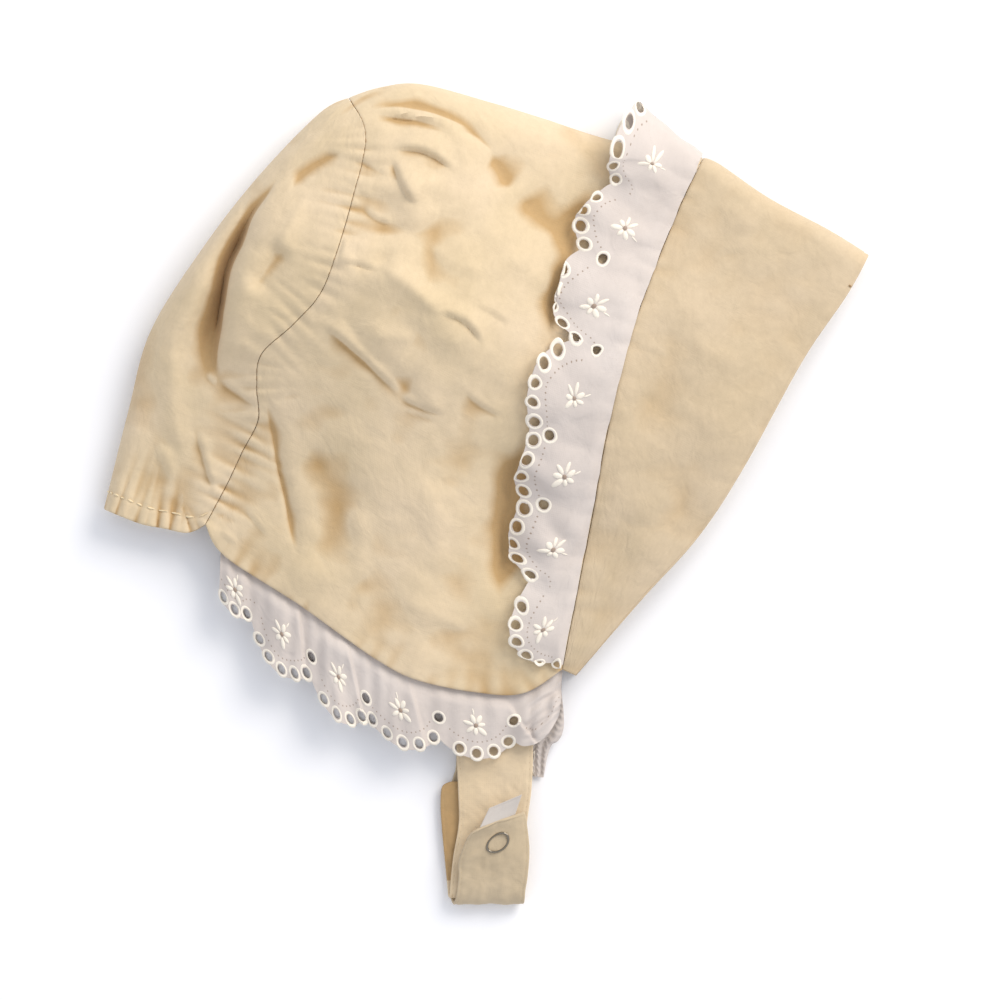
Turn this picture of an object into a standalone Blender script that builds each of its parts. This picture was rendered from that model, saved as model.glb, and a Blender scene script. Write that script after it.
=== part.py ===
# Baby bonnet lying on its side, folded along its centre line, near side up.
# Metres, +Z up. The floor is z = 0. The origin is under the middle of the footprint.

import math

import bmesh
import bpy
from mathutils import Vector

# Cloth and clearances
WALL = 0.0012           # crown, back, brim and strap cloth with its lining
LACE_WALL = 0.0010      # eyelet lace
LABEL_WALL = 0.0008
GAP = 0.00032           # between neighbouring pieces
LACE_GAP = 0.0005       # lace to the cloth that it lies on

# Plan of one side
CROWN_TOP = 0.1077      # back seam to face seam along the top fold
CROWN_TOP_TILT = 9.6    # degrees that the top fold drops towards the face
FACE_SEAM = 0.1590      # top fold to chin
FACE_TILT = 105.4       # degrees of the face seam below the horizontal
NECK_EDGE = 0.1156      # nape corner to chin
NECK_TILT = 22.1
NAPE_EDGE = 0.0306      # nape corner to the centre back
NAPE_TILT = 171.6
BRIM_TOP = 0.0577       # depth of the peak at the centre front
BRIM_TILT = 30.3
BRIM_CHIN = 0.0045      # width of the peak where it ends at the chin
BRIM_CHIN_TILT = -25.0

# Height of the folded bonnet
LOFT = 0.0360           # highest point of the near side above the floor
LOFT_BASE = 0.26        # share of LOFT that is reached everywhere
FOLD_AT = 0.45          # height share at which the two sides turn into each other
ROLL = 0.50             # width of the turned edge as a share of the local height
SEAM_LIFT_RUN = 0.012   # over this the far side comes down beside the far lace

# Lace
LACE_WIDTH = 0.0280
LACE_FLARE = 0.0105     # stands off the crown at the top fold
FLARE_REACH = 0.10      # share of the face seam over which the near side's flare dies away
FLARE_REACH_FAR = 0.05
LACE_RUFFLE = 0.0011
LACE_TUCK = 0.0030      # sewn in under the neck hem
LACE_CLEAR = 0.0008     # past the hem before the far lace comes down
NECK_LACE_DROP = 0.25   # share of its height that the near neck lace loses at its edge
NECK_LACE_SETTLE = 0.30  # share of LACE_WIDTH past the hem in which the far lace comes down
EYELET = 0.0030         # diameter of a worked hole
EYELETS_PER_SCALLOP = 4
EYELET_SIDES = 8
EYELET_SHARE = 0.37     # radius of a hole at most, as a share of its cell

# Straps and snap
STRAP_WIDTH = 0.0231
STRAP_DROP = 0.0636     # neck hem to the bottom of the straps
STRAP_LAYER = 0.0018    # pitch of the stacked strap layers
SNAP_RING = 0.0087
SNAP_WIRE = 0.0009
STUD_WIDTH = 0.0070
STUD_HEIGHT = 0.0012
LABEL_WIDTH = 0.0100
LABEL_HEIGHT = 0.0060
LABEL_TUCK = 0.0012     # sewn in under the strap's end
SNAP_STAND = 0.0003     # the ring stands off the sloping cloth

# Mesh density
CROWN_COLUMNS = 20
ROLL_STEPS = 4
FAR_STEPS = 7
NEAR_STEPS = 3 * FAR_STEPS            # the panels' places meet along the seams
BRIM_COLUMNS = 6
BACK_COLUMNS = 2 * ROLL_STEPS
BACK_FAR_COLUMNS = ROLL_STEPS
EDGE_SAMPLES = 72
ROLL_SHARE = 0.055      # plan share of the face seam that is turned over the fold
ROLL_ARC = 0.080        # the same stretch measured along the cloth

# Edges as (along, out): shares of the chord, out to the left of its direction
TOP_SHAPE = [(0.08, 0.042), (0.19, 0.070), (0.39, 0.052), (0.54, 0.033), (0.75, 0.004)]
FACE_SHAPE = [(0.09, -0.017), (0.25, -0.036), (0.39, -0.044), (0.57, -0.036), (0.70, -0.023),
              (0.87, -0.010)]
NECK_SHAPE = [(0.08, -0.058), (0.30, -0.100), (0.53, -0.155), (0.66, -0.167), (0.82, -0.138),
              (0.93, -0.095)]
NAPE_SHAPE = [(0.16, 0.105), (0.39, 0.098), (0.64, 0.085)]
BACK_SEAM_SHAPE = [(0.07, 0.064), (0.22, 0.082), (0.41, 0.086), (0.51, 0.050), (0.60, 0.000),
                   (0.67, 0.012), (0.74, 0.038), (0.82, 0.027), (0.90, 0.017)]
BACK_FOLD_SHAPE = [(0.06, -0.036), (0.24, -0.078), (0.43, -0.101), (0.63, -0.106), (0.80, -0.060)]
BRIM_TOP_SHAPE = [(0.09, 0.014), (0.40, -0.008), (0.75, 0.006)]
BRIM_EDGE_SHAPE = [(0.09, 0.009), (0.24, 0.011), (0.48, 0.036), (0.64, 0.041), (0.80, 0.021)]

# Swells of the near side as (patch, across, down, height of LOFT, spread of CROWN_TOP)
SWELLS = [
    ("crown", 0.42, 0.40, 0.58, 0.34),
    ("crown", 0.22, 0.12, 0.22, 0.22),
    ("back", 0.35, 0.40, 0.34, 0.26),
    ("brim", 0.45, 0.38, 0.13, 0.28),
    ("crown", 0.45, 0.85, 0.10, 0.25),
]

# Folds as (patch, across 1, down 1, across 2, down 2, width of FOLD_WIDTH, rise of FOLD_RISE, lean).
# Valleys have a rise below 0, and a lean makes the left side wider and the right side steeper.
FOLD_WIDTH = 0.0070
FOLD_RISE = 0.0030
FOLDS = [
    ("crown", 0.05, 0.045, 0.32, 0.050, 0.7, -0.8, 0.0),
    ("crown", 0.03, 0.085, 0.30, 0.095, 0.7, 0.5, 0.0),
    ("crown", 0.14, 0.14, 0.34, 0.165, 0.6, -0.7, 0.3),
    ("crown", 0.00, 0.16, 0.15, 0.19, 0.6, -0.6, 0.0),
    ("crown", 0.09, 0.22, 0.14, 0.31, 1.5, -1.3, 0.0),
    ("crown", 0.00, 0.37, 0.20, 0.365, 0.9, 0.9, -0.3),
    ("crown", 0.20, 0.365, 0.54, 0.415, 0.8, 1.0, -0.4),
    ("crown", 0.20, 0.43, 0.50, 0.48, 1.0, -0.8, 0.0),
    ("crown", 0.40, 0.12, 0.70, 0.20, 2.0, -1.0, 0.0),
    ("crown", 0.12, 0.54, 0.50, 0.59, 1.6, -0.8, 0.0),
    ("crown", 0.55, 0.51, 0.68, 0.51, 1.0, -0.5, 0.0),
    ("crown", 0.03, 0.70, 0.27, 0.94, 1.3, 0.9, 0.0),
    ("crown", 0.10, 0.68, 0.36, 0.90, 1.2, -0.7, 0.0),
    ("crown", 0.68, 0.54, 0.68, 0.80, 1.8, -1.2, 0.0),
    ("crown", 0.70, 0.18, 0.74, 0.42, 1.6, -0.8, 0.0),
    ("back", 0.80, 0.27, 0.70, 0.45, 0.8, -1.6, -0.4),
    ("back", 0.70, 0.45, 0.42, 0.66, 1.0, -1.9, -0.4),
    ("back", 0.90, 0.40, 0.80, 0.66, 0.8, 0.7, 0.0),
    ("back", 0.80, 0.66, 0.50, 0.85, 0.9, 0.7, 0.0),
    ("back", 0.34, 0.67, 0.05, 0.69, 0.7, -0.7, 0.0),
    ("back", 0.45, 0.88, 0.38, 0.97, 0.7, -0.6, 0.0),
    ("brim", 0.50, 0.10, 0.56, 0.47, 2.5, -0.4, 0.0),
]

# Scallops of the brim lace from the top to the chin as (end along the seam, notch, tip): shares of
# the face seam and of the lace width
BRIM_SCALLOPS = [(0.13, 0.74, 0.95), (0.26, 0.78, 0.97), (0.41, 0.55, 1.00), (0.57, 0.84, 0.96),
                 (0.69, 0.76, 0.84), (0.83, 0.55, 0.80), (0.985, 0.30, 0.70)]
BRIM_LACE_SLIDE = 0.035  # share of the face seam by which the free edge sits nearer the top

# Scallops of the neck lace from the nape to the chin as (end along the neck edge, notch, tip)
NECK_SCALLOPS = [(0.17, 0.45, 0.54), (0.34, 0.66, 0.86), (0.50, 0.68, 0.92), (0.69, 0.56, 0.82),
                 (0.87, 0.50, 0.75), (1.00, 0.46, 0.62)]
NECK_LACE_FROM = 0.075
NECK_LACE_TILT = -92.0


for old in list(bpy.data.objects):
    bpy.data.objects.remove(old, do_unlink=True)


def turned(angle):
    """Unit plan vector at an angle in degrees."""
    return Vector((math.cos(math.radians(angle)), math.sin(math.radians(angle))))


def lerp(a, b, share):
    return a + (b - a) * share


def smooth(share):
    share = min(max(share, 0.0), 1.0)
    return share * share * (3.0 - 2.0 * share)


def spline(points, steps):
    """Smooth run through the points, with the same number of steps between each two."""
    run = []
    for i in range(len(points) - 1):
        before = points[max(i - 1, 0)]
        after = points[min(i + 2, len(points) - 1)]
        a, b = points[i], points[i + 1]
        for k in range(steps):
            t = k / steps
            run.append(0.5 * (2 * a + (b - before) * t + (2 * before - 5 * a + 4 * b - after) * t * t
                              + (3 * a - before - 3 * b + after) * t ** 3))
    run.append(points[-1].copy())
    return run


class Edge:
    """A plan curve from one corner to another, read by its share of length."""

    def __init__(self, start, end, shape=()):
        chord = end - start
        side = Vector((-chord.y, chord.x))
        knots = [start] + [start + chord * along + side * out for along, out in shape] + [end]
        self.points = spline(knots, EDGE_SAMPLES // (len(knots) - 1) + 1)
        self.reach = [0.0]
        for a, b in zip(self.points, self.points[1:]):
            self.reach.append(self.reach[-1] + (b - a).length)
        self.length = self.reach[-1]

    def at(self, share):
        want = min(max(share, 0.0), 1.0) * self.length
        low, high = 0, len(self.reach) - 1
        while high - low > 1:
            middle = (low + high) // 2
            if self.reach[middle] <= want:
                low = middle
            else:
                high = middle
        span = self.reach[high] - self.reach[low]
        return self.points[low].lerp(self.points[high], (want - self.reach[low]) / span)


def coons(top, bottom, left, right):
    """Patch between four edge functions: top and bottom run left to right, the sides top to bottom."""
    corners = (left(0.0), right(0.0), left(1.0), right(1.0))

    def place(u, s):
        across = top(u) * (1 - s) + bottom(u) * s
        down = left(s) * (1 - u) + right(s) * u
        flat_top = corners[0] * (1 - u) + corners[1] * u
        flat_bottom = corners[2] * (1 - u) + corners[3] * u
        return across + down - flat_top * (1 - s) - flat_bottom * s
    return place


# Corners of one side, from the top of the face seam
face_top = Vector((0.0, 0.0))
back_top = face_top - turned(-CROWN_TOP_TILT) * CROWN_TOP
chin = face_top + turned(-FACE_TILT) * FACE_SEAM
nape_corner = chin - turned(-NECK_TILT) * NECK_EDGE
nape = nape_corner + turned(NAPE_TILT) * NAPE_EDGE
brim_tip = face_top + turned(-BRIM_TILT) * BRIM_TOP
brim_chin = chin - turned(180 + BRIM_CHIN_TILT) * BRIM_CHIN

crown_top = Edge(back_top, face_top, TOP_SHAPE)
face_seam = Edge(face_top, chin, FACE_SHAPE)
neck_edge = Edge(nape_corner, chin, NECK_SHAPE)
back_seam = Edge(back_top, nape_corner, BACK_SEAM_SHAPE)
back_fold = Edge(back_top, nape, BACK_FOLD_SHAPE)
nape_edge = Edge(nape_corner, nape, NAPE_SHAPE)
brim_top = Edge(face_top, brim_tip, BRIM_TOP_SHAPE)
brim_edge = Edge(brim_tip, brim_chin, BRIM_EDGE_SHAPE)
brim_end = Edge(chin, brim_chin)

crown_patch = coons(crown_top.at, neck_edge.at, back_seam.at, face_seam.at)
brim_patch = coons(brim_top.at, brim_end.at, face_seam.at, brim_edge.at)

# The back panel runs from the seam (across = 0) to the centre back fold (across = 1). Its first row
# follows the seam over the top.
BACK_TURN = ROLL_SHARE
back_patch = coons(lambda q: back_seam.at(BACK_TURN * (1 - q)), nape_edge.at,
                   lambda r: back_seam.at(lerp(BACK_TURN, 1.0, r)), back_fold.at)

PATCHES = {"crown": crown_patch, "brim": brim_patch, "back": back_patch}
fold_line = back_fold.points[::-1] + crown_top.points[1:] + brim_top.points[1:]


def nearest(line, point):
    """Distance of a point to the left of a plan line, and the unit vector to that side."""
    best, side, out = 1.0, 1.0, Vector((0, 1))
    for a, b in zip(line, line[1:]):
        along = b - a
        share = min(max((point - a).dot(along) / along.length_squared, 0.0), 1.0)
        away = point - a - along * share
        if away.length < best:
            left = Vector((-along.y, along.x)).normalized()
            best, out = away.length, left
            side = 1.0 if away.dot(left) >= 0 else -1.0
    return best * side, out


swell_places = [(PATCHES[patch](u, s), height * LOFT, spread * CROWN_TOP)
                for patch, u, s, height, spread in SWELLS]
fold_places = [(PATCHES[patch](u1, s1), PATCHES[patch](u2, s2), width * FOLD_WIDTH,
                rise * FOLD_RISE, lean) for patch, u1, s1, u2, s2, width, rise, lean in FOLDS]


def folds_at(point):
    rise = 0.0
    for start, end, width, height, lean in fold_places:
        along = end - start
        share = (point - start).dot(along) / along.length_squared
        if -0.25 < share < 1.25:
            left = Vector((-along.y, along.x)).normalized()
            off = (point - start).dot(left)
            wide = width * (1 + lean) if off > 0 else width * (1 - lean)
            ends = smooth((share + 0.25) / 0.5) * smooth((1.25 - share) / 0.5)
            rise += height * ends * math.exp(-(off / wide) ** 2)
    return rise


def near_height(point):
    """Height of the near side's middle surface, away from the turned edge."""
    height = LOFT * LOFT_BASE
    for middle, swell, spread in swell_places:
        height += swell * math.exp(-(point - middle).length_squared / (2 * spread * spread))
    return height + folds_at(point)


def far_height(point):
    """The far side lies on the floor, and on the far lace behind the face seam."""
    off = nearest(face_seam.points, point)[0]
    past = off if off > 0 else max(-off - LACE_WIDTH, 0.0)
    return WALL / 2 + (LACE_WALL + LACE_GAP) * (1.0 - smooth(past / SEAM_LIFT_RUN))


def cloth(point, far=False, on_fold=False):
    """Middle surface and outward direction of the bonnet's cloth at a plan point."""
    off, out = nearest(fold_line, point)
    inside = 0.0 if on_fold else max(-off, 0.0)
    near, ground = near_height(point), far_height(point)
    turn = ROLL * (near - ground)
    angle = math.acos(1 - inside / turn) if inside < turn else math.pi / 2
    middle = lerp(ground, near, FOLD_AT)
    if far:
        height = middle - (middle - ground) * math.sin(angle)
        facing = Vector((out.x * math.cos(angle), out.y * math.cos(angle), -math.sin(angle)))
    else:
        height = middle + (near - middle) * math.sin(angle)
        step = 0.001
        slope_x = (near_height(point + Vector((step, 0))) - near) / step * math.sin(angle)
        slope_y = (near_height(point + Vector((0, step))) - near) / step * math.sin(angle)
        facing = Vector((out.x * math.cos(angle) - slope_x, out.y * math.cos(angle) - slope_y,
                         math.sin(angle)))
    return Vector((point.x, point.y, height)), facing.normalized()


def turned_share(along):
    """Plan share from the fold, for a share measured along the cloth."""
    if along < ROLL_ARC:
        return ROLL_SHARE * (1 - math.cos(math.pi / 2 * along / ROLL_ARC))
    return lerp(ROLL_SHARE, 1.0, (along - ROLL_ARC) / (1 - ROLL_ARC))


def run_round(near_steps, far_steps):
    """Shares along a hairpin: near edge 1, over the fold 0, to the far edge -1."""
    roll = [ROLL_ARC * k / ROLL_STEPS for k in range(1, ROLL_STEPS + 1)]
    near = roll + [lerp(ROLL_ARC, 1.0, k / near_steps) for k in range(1, near_steps + 1)]
    far = roll + [lerp(ROLL_ARC, 1.0, k / far_steps) for k in range(1, far_steps + 1)]
    return [-share for share in reversed(far)] + [0.0] + near


def material(name, colour, roughness, metallic=0.0):
    look = bpy.data.materials.new(name)
    look.use_nodes = True
    shader = look.node_tree.nodes["Principled BSDF"]
    shader.inputs["Base Color"].default_value = (*colour, 1.0)
    shader.inputs["Roughness"].default_value = roughness
    shader.inputs["Metallic"].default_value = metallic
    look.diffuse_color = (*colour, 1.0)
    return look


KHAKI = material("khaki_cotton", (0.72, 0.55, 0.34), 0.85)
PALE_KHAKI = material("brim_cotton", (0.68, 0.54, 0.37), 0.85)
WHITE = material("white_eyelet_cotton", (0.80, 0.76, 0.72), 0.9)
STEEL = material("snap_steel", (0.62, 0.61, 0.58), 0.3, 1.0)
TAPE = material("woven_label", (0.70, 0.68, 0.64), 0.8)


def finish(name, mesh_data, look):
    bmesh.ops.recalc_face_normals(mesh_data, faces=mesh_data.faces)
    mesh = bpy.data.meshes.new(name)
    mesh_data.to_mesh(mesh)
    mesh_data.free()
    mesh.materials.append(look)
    mesh.shade_smooth()
    mesh.set_sharp_from_angle(angle=math.radians(50))
    piece = bpy.data.objects.new(name, mesh)
    bpy.context.scene.collection.objects.link(piece)
    return piece


def open_edge(rows):
    """Index pairs round the border of a grid, in order."""
    last_i, last_j = len(rows) - 1, len(rows[0]) - 1
    border = [(i, 0) for i in range(last_i)] + [(last_i, j) for j in range(last_j)]
    border += [(i, last_j) for i in range(last_i, 0, -1)] + [(0, j) for j in range(last_j, 0, -1)]
    return border


def eyelet(mesh_data, outer, inner, corners):
    """Fills one cell of a lace wall round a worked hole."""
    outer_corners = [outer[i][j] for i, j in corners]
    inner_corners = [inner[i][j] for i, j in corners]
    middle = sum((v.co for v in outer_corners + inner_corners), Vector()) / 8
    axis_x = (outer_corners[1].co + outer_corners[2].co - outer_corners[0].co - outer_corners[3].co) / 2
    axis_y = (outer_corners[2].co + outer_corners[3].co - outer_corners[0].co - outer_corners[1].co) / 2
    up = axis_x.cross(axis_y)
    radius = min(EYELET / 2, EYELET_SHARE * up.length / max(axis_x.length, axis_y.length))
    up.normalize()
    axis_x.normalize()
    axis_y = up.cross(axis_x)
    if sum(((a.co - b.co).dot(up) for a, b in zip(outer_corners, inner_corners))) < 0:
        up = -up
    rings = []
    for corner_set, side in ((outer_corners, 0.5), (inner_corners, -0.5)):
        ring = []
        for k in range(EYELET_SIDES):
            angle = math.tau * (k + 0.5) / EYELET_SIDES - 3 * math.pi / 4
            spot = middle + axis_x * radius * math.cos(angle) + axis_y * radius * math.sin(angle)
            ring.append(mesh_data.verts.new(spot + up * LACE_WALL * side))
        rings.append(ring)
        quarter = EYELET_SIDES // 4
        for k in range(4):
            arc = [ring[(quarter * k + n) % EYELET_SIDES] for n in range(quarter)]
            following = ring[(quarter * (k + 1)) % EYELET_SIDES]
            mesh_data.faces.new([corner_set[(k + 1) % 4]] + [following] + arc[::-1] + [corner_set[k]])
    for k in range(EYELET_SIDES):
        n = (k + 1) % EYELET_SIDES
        mesh_data.faces.new([rings[0][k], rings[0][n], rings[1][n], rings[1][k]])


def wall(name, rows, thickness, look, pierced=lambda i, j: False):
    """Closed cloth wall round a grid of (middle, outward) pairs, cut through where pierced says."""
    mesh_data = bmesh.new()
    outer = [[mesh_data.verts.new(middle + out * thickness / 2) for middle, out in row] for row in rows]
    inner = [[mesh_data.verts.new(middle - out * thickness / 2) for middle, out in row] for row in rows]
    for i in range(len(rows) - 1):
        for j in range(len(rows[0]) - 1):
            corners = [(i, j), (i + 1, j), (i + 1, j + 1), (i, j + 1)]
            if pierced(i, j):
                eyelet(mesh_data, outer, inner, corners)
            else:
                mesh_data.faces.new([outer[a][b] for a, b in corners])
                mesh_data.faces.new([inner[a][b] for a, b in reversed(corners)])
    border = open_edge(rows)
    for (a, b), (c, d) in zip(border, border[1:] + border[:1]):
        mesh_data.faces.new([outer[a][b], outer[c][d], inner[c][d], inner[a][b]])
    return finish(name, mesh_data, look)


def open_seam(rows, seam):
    """Moves border places into the grid, square to the seam, by half of the gap.

    seam pairs each border place, in order, with its neighbour inside the grid.
    """
    spots = [rows[i][j][0] for (i, j), inner in seam]
    for k, ((i, j), (m, n)) in enumerate(seam):
        tangent = (spots[min(k + 1, len(spots) - 1)] - spots[max(k - 1, 0)]).normalized()
        inward = rows[m][n][0] - spots[k]
        inward = (inward - tangent * inward.dot(tangent)).normalized()
        rows[i][j] = (spots[k] + inward * GAP / 2, rows[i][j][1])


def open_column(rows, border, beside):
    open_seam(rows, [((border, j), (beside, j)) for j in range(len(rows[0]))])


def panel(patch, columns, shares):
    """Grid of a patch that turns over the fold, a row for each place across."""
    return [[cloth(patch(k / columns, turned_share(abs(along))), along < 0, along == 0)
             for along in shares] for k in range(columns + 1)]


def make_crown():
    rows = panel(crown_patch, CROWN_COLUMNS, run_round(NEAR_STEPS, FAR_STEPS))
    last = len(rows) - 1
    open_column(rows, 0, 1)
    open_column(rows, last, last - 1)
    return wall("crown", rows, WALL, KHAKI)


def make_brim():
    rows = panel(brim_patch, BRIM_COLUMNS, run_round(NEAR_STEPS, FAR_STEPS))
    open_column(rows, 0, 1)
    return wall("brim", rows, WALL, PALE_KHAKI)


def on_rail(rail, share):
    """Place on the crown's back edge, straight between its vertices, far shares below 0."""
    for (low, low_middle, low_out), (high, high_middle, high_out) in zip(rail, rail[1:]):
        if share <= high:
            part = (share - low) / (high - low)
            return low_middle.lerp(high_middle, part), low_out.lerp(high_out, part)
    return rail[-1][1:]


def make_back_panel():
    """Rows run from the far seam round the centre back to the near seam, the top row first."""
    shares = [math.copysign(turned_share(abs(along)), along)
              for along in run_round(NEAR_STEPS, FAR_STEPS)]
    rail = [(share, *cloth(back_seam.at(abs(share)), share < 0, share == 0)) for share in shares]
    far = [math.cos(math.pi / 2 * k / BACK_FAR_COLUMNS) for k in range(BACK_FAR_COLUMNS, 0, -1)]
    near = [math.cos(math.pi / 2 * k / BACK_COLUMNS) for k in range(BACK_COLUMNS + 1)]
    stops = [(across, -1) for across in far] + [(across, 1) for across in near]
    rows = [[on_rail(rail, side * BACK_TURN * (1 - across)) for across, side in stops]]
    for k in range(1, NEAR_STEPS + 1):
        down = k / NEAR_STEPS
        row = [cloth(back_patch(across, down), side < 0, across == 1) for across, side in stops]
        row[0] = on_rail(rail, -lerp(BACK_TURN, 1.0, down))
        row[-1] = on_rail(rail, lerp(BACK_TURN, 1.0, down))
        rows.append(row)
    last = len(stops) - 1
    seam = [((i, 0), (i, 1)) for i in range(NEAR_STEPS, 0, -1)] + [((0, 0), (1, 1))]
    seam += [((0, j), (1, j)) for j in range(1, last)] + [((0, last), (1, last - 1))]
    seam += [((i, last), (i, last - 1)) for i in range(1, NEAR_STEPS + 1)]
    open_seam(rows, seam)
    return wall("back_panel", rows, WALL, KHAKI)


def scallop_width(scallops, start, along):
    """Width share of a scalloped lace at a share along its seam, and the place in the scallop."""
    before, notch_before = start, scallops[0][1]
    for end, notch, tip in scallops:
        if along <= end or end == scallops[-1][0]:
            place = min(max((along - before) / (end - before), 0.0), 1.0)
            edge = lerp(notch_before, notch, place)
            return lerp(edge, tip, math.sin(math.pi * place) ** 0.7), place
        before, notch_before = end, notch


def lace_stops(scallops, start):
    """Shares along the seam where the columns of cells meet."""
    stops = [start]
    for end, notch, tip in scallops:
        begin = stops[-1]
        stops += [lerp(begin, end, (k + 1) / EYELETS_PER_SCALLOP) for k in range(EYELETS_PER_SCALLOP)]
    return stops


LACE_ROWS = (0.0, 0.40, 0.74, 1.0)
EYELET_ROW = 2


def brim_lace_at(along, across):
    """Lace folded back over the crown from the face seam, flared where it crosses the top."""
    share, place = scallop_width(BRIM_SCALLOPS, 0.0, abs(along))
    slid = abs(along) - BRIM_LACE_SLIDE * across * smooth(abs(along) / 0.2)
    down = turned_share(slid)
    span = (back_seam.at(down) - face_seam.at(down)).length
    inward = GAP + across * share * LACE_WIDTH
    middle, out = cloth(crown_patch(1 - inward / span, down), along < 0, along == 0)
    reach = FLARE_REACH_FAR if along < 0 else FLARE_REACH
    stand = WALL / 2 + LACE_GAP + LACE_WALL / 2
    stand += LACE_FLARE * across ** 1.2 * math.exp(-(along / reach) ** 2)
    if along > 0:
        stand += LACE_RUFFLE * across * (1 - math.cos(math.tau * place)) * smooth(along / 0.1)
    middle = middle + out * stand
    middle.z = max(middle.z, LACE_WALL / 2)
    return middle, out


def make_brim_lace():
    half = lace_stops(BRIM_SCALLOPS, 0.0)
    stops = [-along for along in reversed(half[1:])] + half
    rows = [[brim_lace_at(along, across) for across in LACE_ROWS] for along in stops]
    return wall("brim_lace", rows, LACE_WALL, WHITE, lambda i, j: j == EYELET_ROW)


def neck_lace_at(along, across, far):
    """Lace sewn under the neck hem (across below 0) that hangs past it."""
    share, place = scallop_width(NECK_SCALLOPS, NECK_LACE_FROM, along)
    hem = neck_edge.at(along)
    depth = (crown_top.at(along) - hem).length
    tucked = crown_patch(along, 1 + min(across, 0) * LACE_TUCK / depth)
    run = LACE_CLEAR + across * share * LACE_WIDTH if across >= 0 else 0.0
    point = tucked + turned(NECK_LACE_TILT) * run
    stack = WALL / 2 + LACE_GAP + LACE_WALL / 2
    carried = cloth(tucked, far)[0].z
    loose = run / LACE_WIDTH
    if far:
        height = lerp(carried + stack, LACE_WALL / 2, smooth(loose / NECK_LACE_SETTLE))
    else:
        height = (carried - stack) * (1 - NECK_LACE_DROP * smooth(loose))
        height += LACE_RUFFLE * loose * (1 - math.cos(math.tau * place))
    return Vector((point.x, point.y, height)), Vector((0, 0, 1))


def make_neck_lace(name, far):
    stops = lace_stops(NECK_SCALLOPS, NECK_LACE_FROM)
    rows = [[neck_lace_at(along, across, far) for across in (-1.0, *LACE_ROWS)] for along in stops]
    return wall(name, rows, LACE_WALL, WHITE, lambda i, j: j == EYELET_ROW + 1)


# Strap stations as (drop, left, right, slant, layer, lift): shares of STRAP_DROP, of STRAP_WIDTH from
# the strap's axis, again of STRAP_DROP from the left to the right edge, layers above the floor, and
# the layers that the left edge is higher than the right one
STRAP_NEAR = [
    (-0.05, -0.50, 0.50, 0.00, 3.60, 0.0), (0.10, -0.50, 0.50, 0.00, 3.35, 0.0),
    (0.25, -0.50, 0.50, 0.00, 2.55, 0.0), (0.45, -0.48, 0.48, 0.00, 2.05, 0.0),
    (0.62, -0.47, 0.42, 0.00, 2.00, 0.0), (0.78, -0.54, 0.39, 0.00, 2.00, 0.0),
    (0.92, -0.58, 0.38, 0.00, 2.00, 0.0), (0.965, -0.59, 0.37, 0.00, 1.80, 0.0),
    (0.975, -0.60, 0.37, 0.00, 1.50, 0.0), (0.965, -0.61, 0.36, 0.00, 1.20, 0.0),
    (0.92, -0.62, 0.36, 0.00, 1.00, 0.0), (0.60, -0.70, 0.28, 0.00, 1.00, 0.0),
    (0.47, -0.70, 0.28, 0.00, 1.10, 0.0), (0.435, -0.66, 0.24, 0.00, 1.15, 0.0),
    (0.42, -0.56, 0.14, 0.00, 1.15, 0.0),
]
STRAP_FAR = [
    (-0.05, -0.50, 0.43, 0.00, 2.70, 0.0), (0.05, -0.50, 0.43, 0.00, 2.65, 0.0),
    (0.17, -0.50, 0.43, 0.00, 1.60, 0.0), (0.27, -0.50, 0.43, 0.00, 0.90, 0.0),
    (0.36, -0.51, 0.42, 0.00, 0.70, 0.0), (0.41, -0.55, 0.39, 0.00, 0.10, 0.0),
    (0.55, -0.62, 0.32, 0.00, 0.00, 0.0), (0.80, -0.62, 0.32, 0.00, 0.00, 0.0),
    (0.94, -0.60, 0.34, 0.00, 0.00, 0.0), (0.99, -0.57, 0.36, 0.00, 0.60, 0.0),
    (1.005, -0.54, 0.38, 0.00, 1.50, 0.0), (0.985, -0.51, 0.39, 0.00, 2.50, 0.0),
    (0.94, -0.49, 0.40, 0.00, 3.05, 0.0), (0.87, -0.47, 0.43, 0.00, 3.35, 0.1),
    (0.80, -0.47, 0.45, -0.05, 3.70, 0.4), (0.71, -0.38, 0.42, -0.085, 4.40, 1.3),
    (0.67, -0.31, 0.40, -0.090, 4.75, 1.8), (0.65, -0.22, 0.38, -0.085, 4.90, 2.0),
]
STRAP_AXIS = 0.8225     # share of the neck edge where the straps' axis leaves it
STRAP_STEPS = 2
STRAP_ACROSS = 3
SNAP_DROP = 0.705
SNAP_SIDE = 0.03
LABEL_FROM = 0.10       # share of the strap's end edge where the label starts


def strap_place(drop, side, layer):
    top = neck_edge.at(STRAP_AXIS)
    return Vector((top.x + side * STRAP_WIDTH, top.y - drop * STRAP_DROP, WALL / 2 + layer * STRAP_LAYER))


def strap_rows(stations):
    """Grid of (middle, outward) pairs along a strap. Outward turns over with the cloth."""
    left = spline([strap_place(drop, a, layer + lift) for drop, a, b, slant, layer, lift in stations],
                  STRAP_STEPS)
    right = spline([strap_place(drop + slant, b, layer) for drop, a, b, slant, layer, lift in stations],
                   STRAP_STEPS)
    rows = []
    for i in range(len(left)):
        before, after = max(i - 1, 0), min(i + 1, len(left) - 1)
        run = left[after] + right[after] - left[before] - right[before]
        out = -(right[i] - left[i]).cross(run).normalized()
        rows.append([(left[i].lerp(right[i], k / STRAP_ACROSS), out) for k in range(STRAP_ACROSS + 1)])
    return rows


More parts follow.
